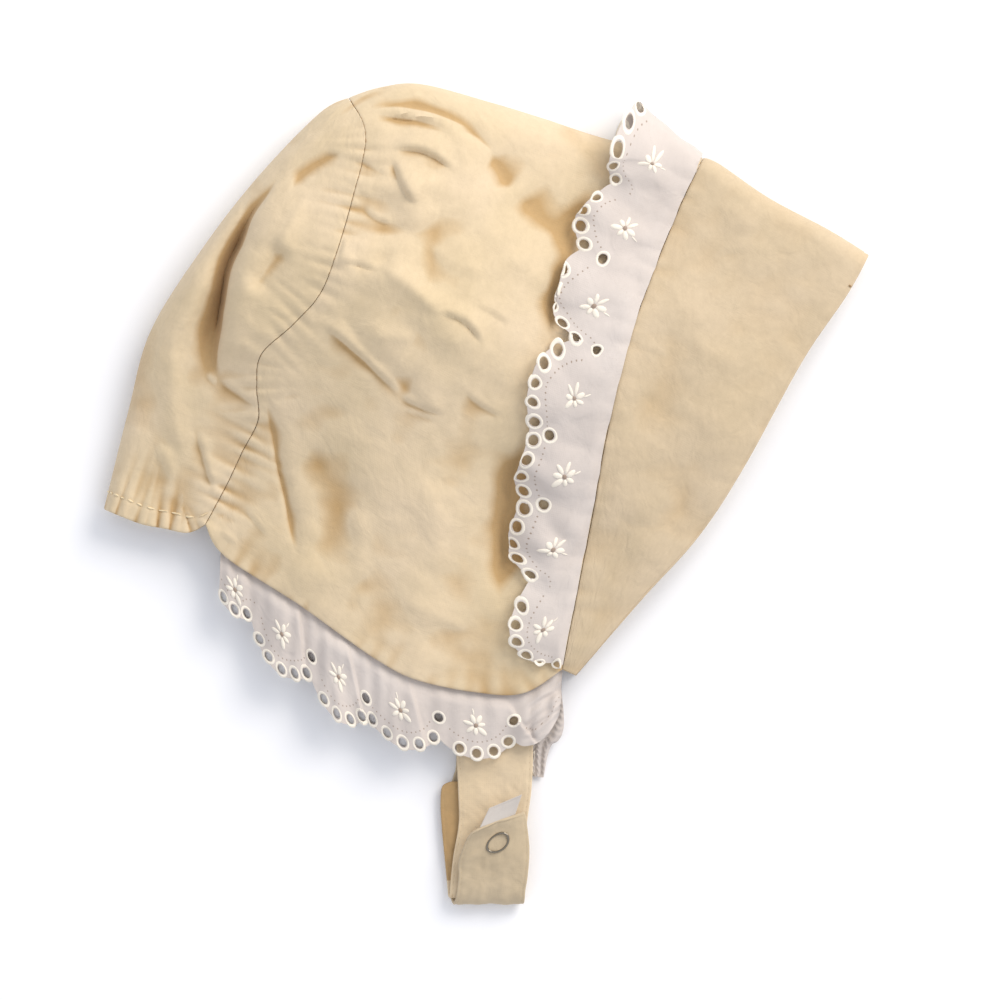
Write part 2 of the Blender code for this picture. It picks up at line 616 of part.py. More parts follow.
def make_snap():
    """A ring on the turned-up strap end and the hidden half under it, both square to the cloth."""
    flap = strap_rows(STRAP_FAR)[-3 * STRAP_ACROSS:]
    spot = strap_place(SNAP_DROP, SNAP_SIDE, 0)
    middle, under = min((pair for row in flap for pair in row),
                        key=lambda pair: (pair[0] - spot).xy.length)
    up = -under
    spot.z = middle.z - up.xy.dot(spot.xy - middle.xy) / up.z
    turn = up.to_track_quat("Z", "Y").to_euler()
    above = WALL / 2 + GAP + SNAP_STAND + SNAP_WIRE / 2
    below = WALL / 2 + GAP + SNAP_STAND + STUD_HEIGHT / 2
    bpy.ops.mesh.primitive_torus_add(location=spot + up * above, rotation=turn, major_segments=20,
                                     minor_segments=8, major_radius=(SNAP_RING - SNAP_WIRE) / 2,
                                     minor_radius=SNAP_WIRE / 2)
    ring = bpy.context.object
    ring.name = "snap_cap"
    ring.data.materials.append(STEEL)
    ring.data.shade_smooth()
    bpy.ops.mesh.primitive_cylinder_add(vertices=16, radius=STUD_WIDTH / 2, depth=STUD_HEIGHT,
                                        location=spot - up * below, rotation=turn)
    stud = bpy.context.object
    stud.name = "snap_stud"
    stud.data.materials.append(STEEL)


def make_label():
    """Woven tab sewn in under the end edge of the turned-up strap, standing out past it."""
    flap = strap_rows(STRAP_FAR)
    start, finish_at = flap[-1][0][0], flap[-1][-1][0]
    up = -flap[-1][0][1]
    along = (finish_at - start).normalized()
    away = up.cross(along)
    stack = WALL / 2 + GAP + LABEL_WALL / 2
    corner = start.lerp(finish_at, LABEL_FROM) - away * LABEL_TUCK - up * stack
    reach = LABEL_HEIGHT + LABEL_TUCK
    rows = [[(corner + along * LABEL_WIDTH * i / 4 + away * reach * j / 2, up) for j in range(3)]
            for i in range(5)]
    wall("care_label", rows, LABEL_WALL, TAPE)


def centre_on_footprint():
    pieces = [piece for piece in bpy.data.objects if piece.type == "MESH"]
    spots = [piece.matrix_world @ v.co for piece in pieces for v in piece.data.vertices]
    middle = Vector(((min(v.x for v in spots) + max(v.x for v in spots)) / 2,
                     (min(v.y for v in spots) + max(v.y for v in spots)) / 2, 0))
    for piece in pieces:
        piece.location -= middle


make_crown()
make_brim()
make_back_panel()
make_brim_lace()
make_neck_lace("neck_lace_near", False)
make_neck_lace("neck_lace_far", True)
wall("strap_near", strap_rows(STRAP_NEAR), WALL, KHAKI)
wall("strap_far", strap_rows(STRAP_FAR), WALL, KHAKI)
make_snap()
make_label()
centre_on_footprint()
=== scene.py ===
# Baby bonnet lying on its side, folded along its centre line, near side up. Metres, +Z up.
# Each cloth is modelled flat, with its holes, stitches and embroidery, and then laid on its form.

import math

import bpy
import numpy as np
from mathutils import Matrix, Vector


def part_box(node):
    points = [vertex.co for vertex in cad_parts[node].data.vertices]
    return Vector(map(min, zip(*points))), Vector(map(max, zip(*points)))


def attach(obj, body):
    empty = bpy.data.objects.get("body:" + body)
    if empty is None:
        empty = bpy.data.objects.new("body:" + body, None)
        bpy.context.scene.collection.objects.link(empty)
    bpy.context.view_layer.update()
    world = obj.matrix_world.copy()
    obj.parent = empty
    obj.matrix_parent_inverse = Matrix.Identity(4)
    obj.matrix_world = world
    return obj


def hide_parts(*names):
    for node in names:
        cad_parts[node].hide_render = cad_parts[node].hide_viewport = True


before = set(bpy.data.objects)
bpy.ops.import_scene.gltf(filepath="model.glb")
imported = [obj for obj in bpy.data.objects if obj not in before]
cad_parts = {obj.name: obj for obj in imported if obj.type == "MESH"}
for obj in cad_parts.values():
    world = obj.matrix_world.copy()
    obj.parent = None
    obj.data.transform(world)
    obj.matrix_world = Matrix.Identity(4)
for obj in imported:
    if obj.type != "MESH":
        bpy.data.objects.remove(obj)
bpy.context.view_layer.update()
print("frame loaded")


# Form of one side, as in the frame: lengths in metres, tilts in degrees, from the top of the face seam
form = {
    "wall": 0.0012,
    "laceWall": 0.0010,
    "gap": 0.00032,
    "laceGap": 0.0005,
    "crownTop": 0.1077,
    "crownTopTilt": 9.6,
    "faceSeam": 0.1590,
    "faceTilt": 105.4,
    "neckEdge": 0.1156,
    "neckTilt": 22.1,
    "napeEdge": 0.0306,
    "napeTilt": 171.6,
    "brimTop": 0.0577,
    "brimTilt": 30.3,
    "brimChin": 0.0045,
    "brimChinTilt": -25.0,
    "loft": 0.0360,
    "loftBase": 0.26,
    "foldAt": 0.45,          # height share at which the two sides turn into each other
    "roll": 0.50,            # width of the turned edge as a share of the local height
    "seamLiftRun": 0.012,    # over this the far side comes down beside the far lace
    "rollShare": 0.055,      # plan share of the face seam that is turned over the fold
    "rollArc": 0.080,        # the same stretch measured along the cloth
    "foldWidth": 0.0070,
    "foldRise": 0.0014,      # broad folds, lower than the frame's: the creases carry the look
    "slopeStep": 0.0005,     # run over which a slope is taken
    "leastHeight": 0.00002,  # the cloth never dips below this
    "samples": 144,
}

# Edges as (along, out): shares of the chord, out to the left of its direction
shapes = {
    "top": [(0.08, 0.042), (0.19, 0.070), (0.39, 0.052), (0.54, 0.033), (0.75, 0.004)],
    "face": [(0.09, -0.017), (0.25, -0.036), (0.39, -0.044), (0.57, -0.036), (0.70, -0.023),
             (0.87, -0.010)],
    "neck": [(0.08, -0.058), (0.30, -0.100), (0.53, -0.155), (0.66, -0.167), (0.82, -0.138),
             (0.93, -0.095)],
    "nape": [(0.16, 0.105), (0.39, 0.098), (0.64, 0.085)],
    "backSeam": [(0.07, 0.064), (0.22, 0.082), (0.41, 0.086), (0.51, 0.050), (0.60, 0.000),
                 (0.67, 0.012), (0.74, 0.038), (0.82, 0.027), (0.90, 0.017)],
    "backFold": [(0.06, -0.036), (0.24, -0.078), (0.43, -0.101), (0.63, -0.106), (0.80, -0.060)],
    "brimTop": [(0.09, 0.014), (0.40, -0.008), (0.75, 0.006)],
    "brimEdge": [(0.09, 0.009), (0.24, 0.011), (0.48, 0.036), (0.64, 0.041), (0.80, 0.021)],
}

# Swells of the near side as (patch, across, down, height of loft, spread of crownTop)
swells = [
    ("crown", 0.42, 0.40, 0.58, 0.34),
    ("crown", 0.22, 0.12, 0.22, 0.22),
    ("back", 0.35, 0.40, 0.34, 0.26),
    ("brim", 0.45, 0.38, 0.13, 0.28),
    ("crown", 0.45, 0.85, 0.10, 0.25),
]

# Folds as (patch, across 1, down 1, across 2, down 2, width of foldWidth, rise of foldRise, lean).
# Valleys have a rise below 0, and a lean makes the left side wider and the right side steeper.
folds = [
    ("crown", 0.05, 0.045, 0.32, 0.050, 0.7, -0.8, 0.0),
    ("crown", 0.03, 0.085, 0.30, 0.095, 0.7, 0.5, 0.0),
    ("crown", 0.14, 0.14, 0.34, 0.165, 0.6, -0.7, 0.3),
    ("crown", 0.00, 0.16, 0.15, 0.19, 0.6, -0.6, 0.0),
    ("crown", 0.09, 0.22, 0.14, 0.31, 1.5, -1.3, 0.0),
    ("crown", 0.00, 0.37, 0.20, 0.365, 0.9, 0.9, -0.3),
    ("crown", 0.20, 0.365, 0.54, 0.415, 0.8, 1.0, -0.4),
    ("crown", 0.20, 0.43, 0.50, 0.48, 1.0, -0.8, 0.0),
    ("crown", 0.40, 0.12, 0.70, 0.20, 2.0, -1.0, 0.0),
    ("crown", 0.12, 0.54, 0.50, 0.59, 1.6, -0.8, 0.0),
    ("crown", 0.55, 0.51, 0.68, 0.51, 1.0, -0.5, 0.0),
    ("crown", 0.03, 0.70, 0.27, 0.94, 1.3, 0.9, 0.0),
    ("crown", 0.10, 0.68, 0.36, 0.90, 1.2, -0.7, 0.0),
    ("crown", 0.68, 0.54, 0.68, 0.80, 1.8, -1.2, 0.0),
    ("crown", 0.70, 0.18, 0.74, 0.42, 1.6, -0.8, 0.0),
    ("back", 0.80, 0.27, 0.70, 0.45, 0.8, -1.6, -0.4),
    ("back", 0.70, 0.45, 0.42, 0.66, 1.0, -1.9, -0.4),
    ("back", 0.90, 0.40, 0.80, 0.66, 0.8, 0.7, 0.0),
    ("back", 0.80, 0.66, 0.50, 0.85, 0.9, 0.7, 0.0),
    ("back", 0.34, 0.67, 0.05, 0.69, 0.7, -0.7, 0.0),
    ("back", 0.45, 0.88, 0.38, 0.97, 0.7, -0.6, 0.0),
    ("brim", 0.50, 0.10, 0.56, 0.47, 2.5, -0.4, 0.0),
]

# The photograph's scale, and its pixel where the face seam starts at the top
photo = {"pixel": 0.0003, "seamTop": (703, 158)}

# Sharper creases that the frame leaves out, placed in the photograph. Pixels of the start, the
# middle and the end, pixels of width on the left and on the right, rise in mm, crisp. A crisp one has
# the cloth pushed up on its left and a sharp drop to its right.
creases = {
    "crown": [
        (355, 101, 370, 94, 386, 89, 7, 4, 0.6, 1), (372, 108, 430, 111, 500, 158, 8, 6, -1.9, 0),
        (366, 116, 425, 119, 480, 136, 5, 9, 1.6, 1), (388, 150, 424, 152, 458, 175, 14, 6, 2.3, 1),
        (392, 158, 402, 181, 418, 207, 14, 5, 2.3, 1), (408, 168, 418, 200, 424, 236, 34, 26, 2.0, 0),
        (361, 163, 376, 170, 393, 175, 5, 4, 0.9, 1), (358, 193, 366, 196, 374, 197, 4, 3, 0.8, 1),
        (361, 208, 373, 219, 397, 225, 7, 4, 1.2, 1), (488, 154, 498, 170, 513, 192, 13, 10, -1.5, 0),
        (512, 191, 540, 216, 574, 250, 21, 18, -2.0, 0), (333, 263, 357, 265, 384, 271, 12, 5, 1.6, 1),
        (380, 264, 408, 286, 446, 318, 20, 9, 1.9, 0), (436, 312, 464, 322, 485, 346, 16, 6, 2.5, 1),
        (316, 322, 350, 344, 404, 400, 36, 20, 2.3, 1), (398, 396, 418, 405, 448, 414, 20, 8, 1.9, 1),
        (398, 409, 420, 414, 442, 421, 7, 4, 0.8, 1), (463, 391, 482, 405, 507, 415, 12, 5, 1.1, 1),
        (469, 305, 492, 312, 515, 329, 9, 5, 0.8, 1), (262, 386, 273, 450, 300, 565, 7, 6, -1.2, 1),
        (241, 508, 256, 524, 266, 536, 6, 4, 0.9, 1), (220, 530, 226, 536, 234, 543, 5, 4, 0.8, 1),
        (345, 500, 360, 540, 350, 590, 14, 14, 0.9, 0), (420, 470, 440, 520, 430, 580, 20, 16, 1.2, 0),
        (500, 440, 512, 500, 508, 590, 18, 23, -1.9, 0), (300, 440, 330, 480, 345, 540, 23, 21, -0.9, 0),
        (400, 600, 430, 612, 470, 630, 12, 8, 0.9, 0), (370, 330, 395, 338, 420, 336, 9, 7, 0.8, 0),
        (372, 124, 425, 128, 470, 150, 5, 21, -1.4, 0), (342, 262, 380, 262, 400, 250, 10, 8, -1.2, 0),
        (500, 250, 530, 270, 556, 300, 16, 12, 1.1, 0), (430, 240, 455, 262, 490, 280, 12, 9, 0.8, 0),
        (592, 180, 566, 250, 545, 345, 20, 16, -2.6, 0), (528, 420, 508, 500, 500, 610, 22, 16, -3.0, 0),
        (372, 118, 420, 121, 478, 136, 7, 9, 1.2, 1), (428, 160, 440, 230, 408, 320, 24, 24, -1.7, 0),
        (262, 385, 278, 470, 306, 567, 10, 16, -1.6, 0), (330, 300, 380, 360, 440, 420, 13, 13, -1.6, 0),
    ],
    "back": [
        (262, 196, 222, 264, 205, 380, 17, 13, -4.2, 0), (258, 178, 212, 244, 176, 318, 12, 26, 1.4, 0),
        (176, 318, 172, 380, 184, 462, 12, 14, 1.1, 0), (205, 373, 210, 379, 217, 384, 5, 3, 1.1, 1),
        (219, 379, 238, 392, 260, 405, 8, 4, 1.4, 1), (350, 152, 318, 163, 290, 196, 8, 8, -1.4, 0),
        (289, 243, 271, 268, 249, 292, 12, 12, -2.0, 0), (268, 304, 278, 312, 293, 317, 6, 4, 0.9, 1),
        (232, 355, 245, 349, 257, 347, 5, 4, 0.6, 1), (196, 425, 206, 462, 216, 497, 16, 8, 1.4, 1),
        (160, 440, 168, 470, 172, 500, 9, 7, 0.9, 0), (250, 215, 226, 270, 214, 340, 5, 6, -2.2, 0),
        (330, 130, 300, 150, 280, 178, 8, 6, 0.9, 0), (310, 200, 290, 230, 276, 262, 10, 8, 1.1, 0),
        (346, 238, 343, 250, 338, 264, 3, 3, 1.2, 1), (287, 171, 233, 272, 220, 386, 26, 6, 4.2, 1),
        (278, 180, 226, 276, 213, 380, 7, 8, -3.2, 0),
    ],
    "brim": [
        (720, 200, 735, 215, 760, 228, 14, 10, 0.5, 0), (690, 330, 712, 350, 745, 372, 14, 10, 0.5, 0),
        (640, 430, 660, 450, 700, 462, 12, 9, 0.5, 0), (676, 296, 672, 350, 625, 445, 26, 22, -1.5, 0),
        (705, 266, 737, 251, 783, 257, 5, 4, 0.5, 1), (632, 346, 650, 350, 667, 361, 4, 3, 0.6, 1),
        (610, 520, 640, 540, 690, 470, 16, 14, -0.8, 0),
    ],
}

# Soft crinkle of washed cotton, as (wave length, height)
crinkles = [(0.034, 0.00050), (0.016, 0.00022), (0.008, 0.00009)]

# Puckers along the seams, as (edge, reach into the cloth, height, wave length)
puckers = [
    ("backSeam", 0.0065, 0.00034, 0.0062),
    ("nape", 0.0080, 0.00060, 0.0058),
    ("neck", 0.0050, 0.00022, 0.0085),
    ("face", 0.0050, 0.00016, 0.0080),
]


def turned(degrees):
    angle = math.radians(degrees)
    return np.array([math.cos(angle), math.sin(angle)])


def smooth(share):
    share = np.clip(share, 0.0, 1.0)
    return share * share * (3.0 - 2.0 * share)


def curveThrough(points, steps):
    points = np.array(points)
    run = []
    for i in range(len(points) - 1):
        before, a, b = points[max(i - 1, 0)], points[i], points[i + 1]
        after = points[min(i + 2, len(points) - 1)]
        for t in np.arange(steps) / steps:
            run.append(0.5 * (2 * a + (b - before) * t + (2 * before - 5 * a + 4 * b - after) * t ** 2
                              + (3 * a - before - 3 * b + after) * t ** 3))
    return np.array(run + [points[-1]])


def reachOf(points):  # length along a line up to each of its points
    return np.concatenate([[0.0], np.cumsum(np.linalg.norm(np.diff(points, axis=0), axis=1))])


def along(points, reach, want):  # places on a line at the lengths that are wanted
    return np.column_stack([np.interp(want, reach, points[:, k]) for k in range(points.shape[1])])


def makeEdge(start, end, shape=()):
    chord = end - start
    side = np.array([-chord[1], chord[0]])
    knots = [start] + [start + chord * a + side * b for a, b in shape] + [end]
    points = curveThrough(knots, form["samples"] // (len(knots) - 1) + 1)
    return points, reachOf(points)


def edgeAt(edge, share):
    points, reach = edge
    return along(points, reach, np.clip(share, 0.0, 1.0) * reach[-1])


def coons(top, bottom, left, right):  # patch between four edges, each a function of a share
    zero, one = np.zeros(1), np.ones(1)

    def place(u, s):
        a, b = u[:, None], s[:, None]
        across = top(u) * (1 - b) + bottom(u) * b
        down = left(s) * (1 - a) + right(s) * a
        flatTop = left(zero) * (1 - a) + right(zero) * a
        flatBottom = left(one) * (1 - a) + right(one) * a
        return across + down - flatTop * (1 - b) - flatBottom * b
    return place


faceTop = np.zeros(2)
backTop = faceTop - turned(-form["crownTopTilt"]) * form["crownTop"]
chin = faceTop + turned(-form["faceTilt"]) * form["faceSeam"]
napeCorner = chin - turned(-form["neckTilt"]) * form["neckEdge"]
nape = napeCorner + turned(form["napeTilt"]) * form["napeEdge"]
brimTip = faceTop + turned(-form["brimTilt"]) * form["brimTop"]
brimChin = chin - turned(180 + form["brimChinTilt"]) * form["brimChin"]

crownTop = makeEdge(backTop, faceTop, shapes["top"])
faceSeam = makeEdge(faceTop, chin, shapes["face"])
neckEdge = makeEdge(napeCorner, chin, shapes["neck"])
backSeam = makeEdge(backTop, napeCorner, shapes["backSeam"])
backFold = makeEdge(backTop, nape, shapes["backFold"])
napeEdge = makeEdge(napeCorner, nape, shapes["nape"])
brimTop = makeEdge(faceTop, brimTip, shapes["brimTop"])
brimEdge = makeEdge(brimTip, brimChin, shapes["brimEdge"])
brimEnd = makeEdge(chin, brimChin)
foldLine = np.vstack([backFold[0][::-1], crownTop[0][1:], brimTop[0][1:]])

backTurn = form["rollShare"]
patches = {
    "crown": coons(lambda u: edgeAt(crownTop, u), lambda u: edgeAt(neckEdge, u),
                   lambda s: edgeAt(backSeam, s), lambda s: edgeAt(faceSeam, s)),
    "brim": coons(lambda u: edgeAt(brimTop, u), lambda u: edgeAt(brimEnd, u),
                  lambda s: edgeAt(faceSeam, s), lambda s: edgeAt(brimEdge, s)),
    "back": coons(lambda u: edgeAt(backSeam, backTurn * (1 - u)), lambda u: edgeAt(napeEdge, u),
                  lambda s: edgeAt(backSeam, backTurn + (1 - backTurn) * s),
                  lambda s: edgeAt(backFold, s)),
}


def nearest(line, points):  # distance to the left of a line, the way there, and the length along it
    runs = np.diff(line, axis=0)
    long = np.linalg.norm(runs, axis=1)
    left = np.column_stack([-runs[:, 1], runs[:, 0]]) / long[:, None]
    reach = reachOf(line)
    off, out, where = np.empty(len(points)), np.empty((len(points), 2)), np.empty(len(points))
    for k in range(0, len(points), 3000):
        away = points[k:k + 3000, None] - line[:-1]
        share = np.clip((away * runs).sum(2) / long ** 2, 0.0, 1.0)
        away -= share[..., None] * runs
        gap = np.linalg.norm(away, axis=2)
        rows, pick = np.arange(len(gap)), gap.argmin(1)
        side = np.where((away[rows, pick] * left[pick]).sum(1) >= 0, 1.0, -1.0)
        off[k:k + 3000] = gap[rows, pick] * side
        out[k:k + 3000] = left[pick]
        where[k:k + 3000] = reach[pick] + share[rows, pick] * long[pick]
    return off, out, where


def onPatch(patch, u, s):
    return patches[patch](np.array([u]), np.array([s]))[0]


def wavy(points, size, seed):  # smooth random bumps of about that size, from crossed waves
    rng = np.random.default_rng(seed)
    angle = rng.uniform(0, math.tau, 24)
    pace = math.tau / (size * rng.uniform(0.6, 1.6, 24))
    run = points @ np.vstack([np.cos(angle) * pace, np.sin(angle) * pace])
    return np.sin(run + rng.uniform(0, math.tau, 24)).sum(1) / math.sqrt(24)


def foldsAt(points):
    rise = np.zeros(len(points))
    for patch, u1, s1, u2, s2, width, height, lean in folds:
        start, end = onPatch(patch, u1, s1), onPatch(patch, u2, s2)
        run = end - start
        share = ((points - start) @ run) / (run @ run)
        off = (points - start) @ np.array([-run[1], run[0]]) / np.linalg.norm(run)
        wide = form["foldWidth"] * width * np.where(off > 0, 1 + lean, 1 - lean)
        ends = smooth((share + 0.25) / 0.5) * smooth((1.25 - share) / 0.5)
        rise += form["foldRise"] * height * ends * np.exp(-(off / wide) ** 2)
    return rise


def fromPhoto(x, y):  # plan place of a pixel of the photograph
    return np.array([x - photo["seamTop"][0], photo["seamTop"][1] - y]) * photo["pixel"]


def creasesAt(points):
    values = {"wander": 0.0005, "wanderSize": 0.024, "edge": 0.00070, "crisp": 0.85, "below": 0.45,
              "soft": 1.1, "ends": 0.3, "endWidth": 0.55}
    bent = points + values["wander"] * np.column_stack([wavy(points, values["wanderSize"], 21),
                                                        wavy(points, values["wanderSize"], 22)])
    rise = np.zeros(len(points))
    for x1, y1, x2, y2, x3, y3, left, right, height, crisp in sum(creases.values(), []):
        start, middle, end = fromPhoto(x1, y1), fromPhoto(x2, y2), fromPhoto(x3, y3)
        run = end - start
        long = np.linalg.norm(run)
        aside = np.array([-run[1], run[0]]) / long
        bow = (middle - (start + end) / 2) @ aside
        share = ((bent - start) @ run) / long ** 2
        off = (bent - start) @ aside - bow * 4 * share * (1 - share)
        ends = smooth(share / values["ends"]) * smooth((1 - share) / values["ends"])
        width = np.where(off > 0, left, right) * photo["pixel"]
        part = np.abs(off) / width / (values["endWidth"] + (1 - values["endWidth"]) * ends)
        if crisp:
            fall = 0.5 + 0.5 * np.tanh(off / values["edge"])
            shape = values["crisp"] * (fall - values["below"] * (1 - fall)) * np.exp(-part ** 1.3)
        else:
            shape = values["soft"] * np.exp(-part ** 1.6)
        rise += height / 1000 * shape * ends
    return rise


def puckersAt(points):
    rise = np.zeros(len(points))
    lines = {"backSeam": backSeam, "nape": napeEdge, "neck": neckEdge, "face": faceSeam}
    for seed, (name, reach, height, wave) in enumerate(puckers):
        line = lines[name][0]
        away = np.min([np.linalg.norm(points - knot, axis=1) for knot in line[::8]], axis=0)
        close = away < 4 * reach
        off, out, where = nearest(line, points[close])
        run = math.tau * where / wave
        ripple = np.sin(run + 1.3 * np.sin(run * 0.37 + seed) + off * 160)
        ripple += 0.6 * np.sin(run * 1.7 + 2 * seed)
        rise[close] += height * ripple * np.exp(-np.abs(off) / reach)
    return rise


def blurred(grid, reach):  # Gaussian blur, its reach in cells
    parts = [np.exp(-2 * (math.pi * reach * pace) ** 2)
             for pace in (np.fft.fftfreq(grid.shape[0]), np.fft.rfftfreq(grid.shape[1]))]
    return np.fft.irfft2(np.fft.rfft2(grid) * parts[0][:, None] * parts[1], grid.shape)


def makeRelief():  # the near side's height, and its painted shade in hollows and creases, on a fine grid over the plan
    values = {"low": (-0.185, -0.170), "high": (0.060, 0.032), "step": 0.0004, "hollowReach": 0.0045,
              "creaseReach": 0.0012, "creaseShade": 2.5, "broadReach": 0.0100, "broadShade": 1.0}
    xs, ys = [np.arange(a, b, values["step"]) for a, b in zip(values["low"], values["high"])]
    points = np.stack(np.meshgrid(xs, ys, indexing="ij"), axis=-1).reshape(-1, 2)
    height = np.full(len(points), form["loft"] * form["loftBase"])
    for patch, u, s, swell, width in swells:
        away = ((points - onPatch(patch, u, s)) ** 2).sum(1)
        height += swell * form["loft"] * np.exp(-away / (2 * (width * form["crownTop"]) ** 2))
    height += foldsAt(points) + creasesAt(points) + puckersAt(points)
    for seed, (size, rise) in enumerate(crinkles):
        height += rise * wavy(points, size, seed)
    height = height.reshape(len(xs), len(ys))
    # Painted shade: how far the cloth lies below its blurred self, at three reaches, darkens its hollows and
    # creases in the material
    paintedShade = blurred(height, values["hollowReach"] / values["step"]) - height
    paintedShade += values["creaseShade"] * (blurred(height, values["creaseReach"] / values["step"]) - height)
    paintedShade += values["broadShade"] * (blurred(height, values["broadReach"] / values["step"]) - height)
    return {"corner": np.array(values["low"]), "step": values["step"], "height": height, "paintedShade": paintedShade}


relief = makeRelief()
print("relief done")


def readRelief(name, points):
    spot = (points - relief["corner"]) / relief["step"]
    grid = relief[name]
    cell = np.clip(spot.astype(int), 0, np.array(grid.shape) - 2)
    i, j = cell.T
    a, b = np.clip(spot - cell, 0.0, 1.0).T
    return ((grid[i, j] * (1 - a) + grid[i + 1, j] * a) * (1 - b)
            + (grid[i, j + 1] * (1 - a) + grid[i + 1, j + 1] * a) * b)


def nearHeight(points):
    return readRelief("height", points)


def farHeight(points):  # the far side lies on the floor, and on the far lace behind the face seam
    off = nearest(faceSeam[0], points)[0]
    past = np.where(off > 0, off, np.maximum(-off - lace["width"], 0.0))
    lift = form["laceWall"] + form["laceGap"]
    return form["wall"] / 2 + lift * (1.0 - smooth(past / form["seamLiftRun"]))


def cloth(points, far, onFold):  # middle of the cloth and its outward direction at plan points
    off, out, where = nearest(foldLine, points)
    inside = np.where(onFold, 0.0, np.maximum(-off, 0.0))
    near, ground = nearHeight(points), farHeight(points)
    turn = form["roll"] * (near - ground)
    angle = np.arccos(1 - np.clip(inside / turn, 0.0, 1.0))
    middle = ground + (near - ground) * form["foldAt"]
    rise = np.where(far, middle - (middle - ground) * np.sin(angle),
                    middle + (near - middle) * np.sin(angle))
    step = form["slopeStep"]
    slopeX = (nearHeight(points + (step, 0)) - near) / step * np.sin(angle)
    slopeY = (nearHeight(points + (0, step)) - near) / step * np.sin(angle)
    facing = np.column_stack([out[:, 0] * np.cos(angle) - np.where(far, 0.0, slopeX),
                              out[:, 1] * np.cos(angle) - np.where(far, 0.0, slopeY),
                              np.where(far, -np.sin(angle), np.sin(angle))])
    facing /= np.linalg.norm(facing, axis=1)[:, None]
    return np.column_stack([points, rise]), facing


def turnedShare(share):  # plan share from the fold, for a share measured along the cloth
    roll, arc = form["rollShare"], form["rollArc"]
    return np.where(share < arc, roll * (1 - np.cos(math.pi / 2 * np.minimum(share / arc, 1.0))),
                    roll + (1 - roll) * (share - arc) / (1 - arc))


# Modelling helpers
def deselect():
    bpy.ops.object.select_all(action="DESELECT")


def activate(piece):
    deselect()
    piece.select_set(True)
    bpy.context.view_layer.objects.active = piece


def spotsOf(piece):
    spots = np.empty(len(piece.data.vertices) * 3)
    piece.data.vertices.foreach_get("co", spots)
    return spots.reshape(-1, 3)


def setSpots(piece, spots):
    piece.data.vertices.foreach_set("co", spots.ravel())
    piece.data.update()


def even(start, end, spacing):
    return np.linspace(start, end, max(int(abs(end - start) / spacing), 1) + 1)


def rimmed(start, end, spacing, rim=(0.0002, 0.0005, 0.0009, 0.0013, 0.0017), inside=0.0022):
    # even stops with finer ones at both ends
    inner = even(start + inside, end - inside, spacing)
    return np.concatenate([[start], start + np.array(rim), inner, end - np.array(rim)[::-1], [end]])


def flatSheet(name, acrossStops, alongStops):  # a flat grid whose lines lie at the stops
    deselect()
    bpy.ops.mesh.primitive_grid_add(x_subdivisions=len(acrossStops) - 1,
                                    y_subdivisions=len(alongStops) - 1, size=1)
    piece = bpy.context.object
    piece.name = piece.data.name = name
    spots = spotsOf(piece)
    for k, stops in enumerate((acrossStops, alongStops)):
        spots[:, k] = np.interp((spots[:, k] + 0.5) * (len(stops) - 1), np.arange(len(stops)), stops)
    setSpots(piece, spots)
    return piece


def thicken(piece, thickness):
    activate(piece)
    wall = piece.modifiers.new("wall", "SOLIDIFY")
    wall.thickness = thickness
    wall.offset = 0.0
    bpy.ops.object.modifier_apply(modifier=wall.name)


def roundRim(piece, away, radius, least=0.4):  # thins the cloth towards the edges that away measures from
    spots = spotsOf(piece)
    part = 1 - np.clip(away(spots[:, 0], spots[:, 1]) / radius, 0.0, 1.0)
    spots[:, 2] *= least + (1 - least) * np.sqrt(1 - part ** 2)
    setSpots(piece, spots)


def press(piece, away, depth=0.00022, wide=0.0004):  # a row of stitches presses the cloth's face in
    spots = spotsOf(piece)
    dent = depth * np.exp(-(away(spots[:, 0], spots[:, 1]) / wide) ** 2)
    spots[:, 2] -= np.sign(spots[:, 2]) * np.minimum(dent, np.abs(spots[:, 2]) * 0.8)
    setSpots(piece, spots)


def flatUv(piece):  # the cloth's own flat place, in metres
    spots = spotsOf(piece)
    corner = np.empty(len(piece.data.loops), int)
    piece.data.loops.foreach_get("vertex_index", corner)
    piece.data.uv_layers[0].data.foreach_set("uv", spots[corner, :2].ravel())


def drape(piece, place, paintedShadeAmount=0.0):  # lays a flat piece on a form: place gives its middle and way out, and the last argument scales the painted shade that its upward faces take from the relief
    flatUv(piece)
    spots = spotsOf(piece)
    middle, facing = place(spots[:, 0], spots[:, 1])
    # Painted shade for hollows and creases, kept in an attribute for the material
    shade = piece.data.attributes.new("paintedShade", "FLOAT", "POINT")
    inside = readRelief("paintedShade", middle[:, :2]) * 1000 * paintedShadeAmount
    shade.data.foreach_set("value", inside * (facing[:, 2] > 0.05))
    laid = middle + facing * spots[:, 2:3] + hang
    laid[:, 2] = np.maximum(laid[:, 2], form["leastHeight"])
    setSpots(piece, laid)


def scatter(template, places, vary=0.0):  # copies of a small flat piece at (x, y, z, turn)
    copies = []
    sizes = 1 + vary * np.random.default_rng(3).uniform(-1, 1, (len(places), 2))
    for (x, y, z, turn), (wide, tall) in zip(places, sizes):
        copy = bpy.data.objects.new(template.name, template.data.copy())
        copy.data.transform(Matrix.Translation((x, y, z)) @ Matrix.Rotation(turn, 4, "Z")
                            @ Matrix.Diagonal((wide, tall, 1, 1)))
        bpy.context.collection.objects.link(copy)
        copies.append(copy)
    bpy.data.objects.remove(template)
    return copies


def joinTo(piece, parts):
    activate(piece)
    for part in parts:
        part.select_set(True)
    bpy.ops.object.join()


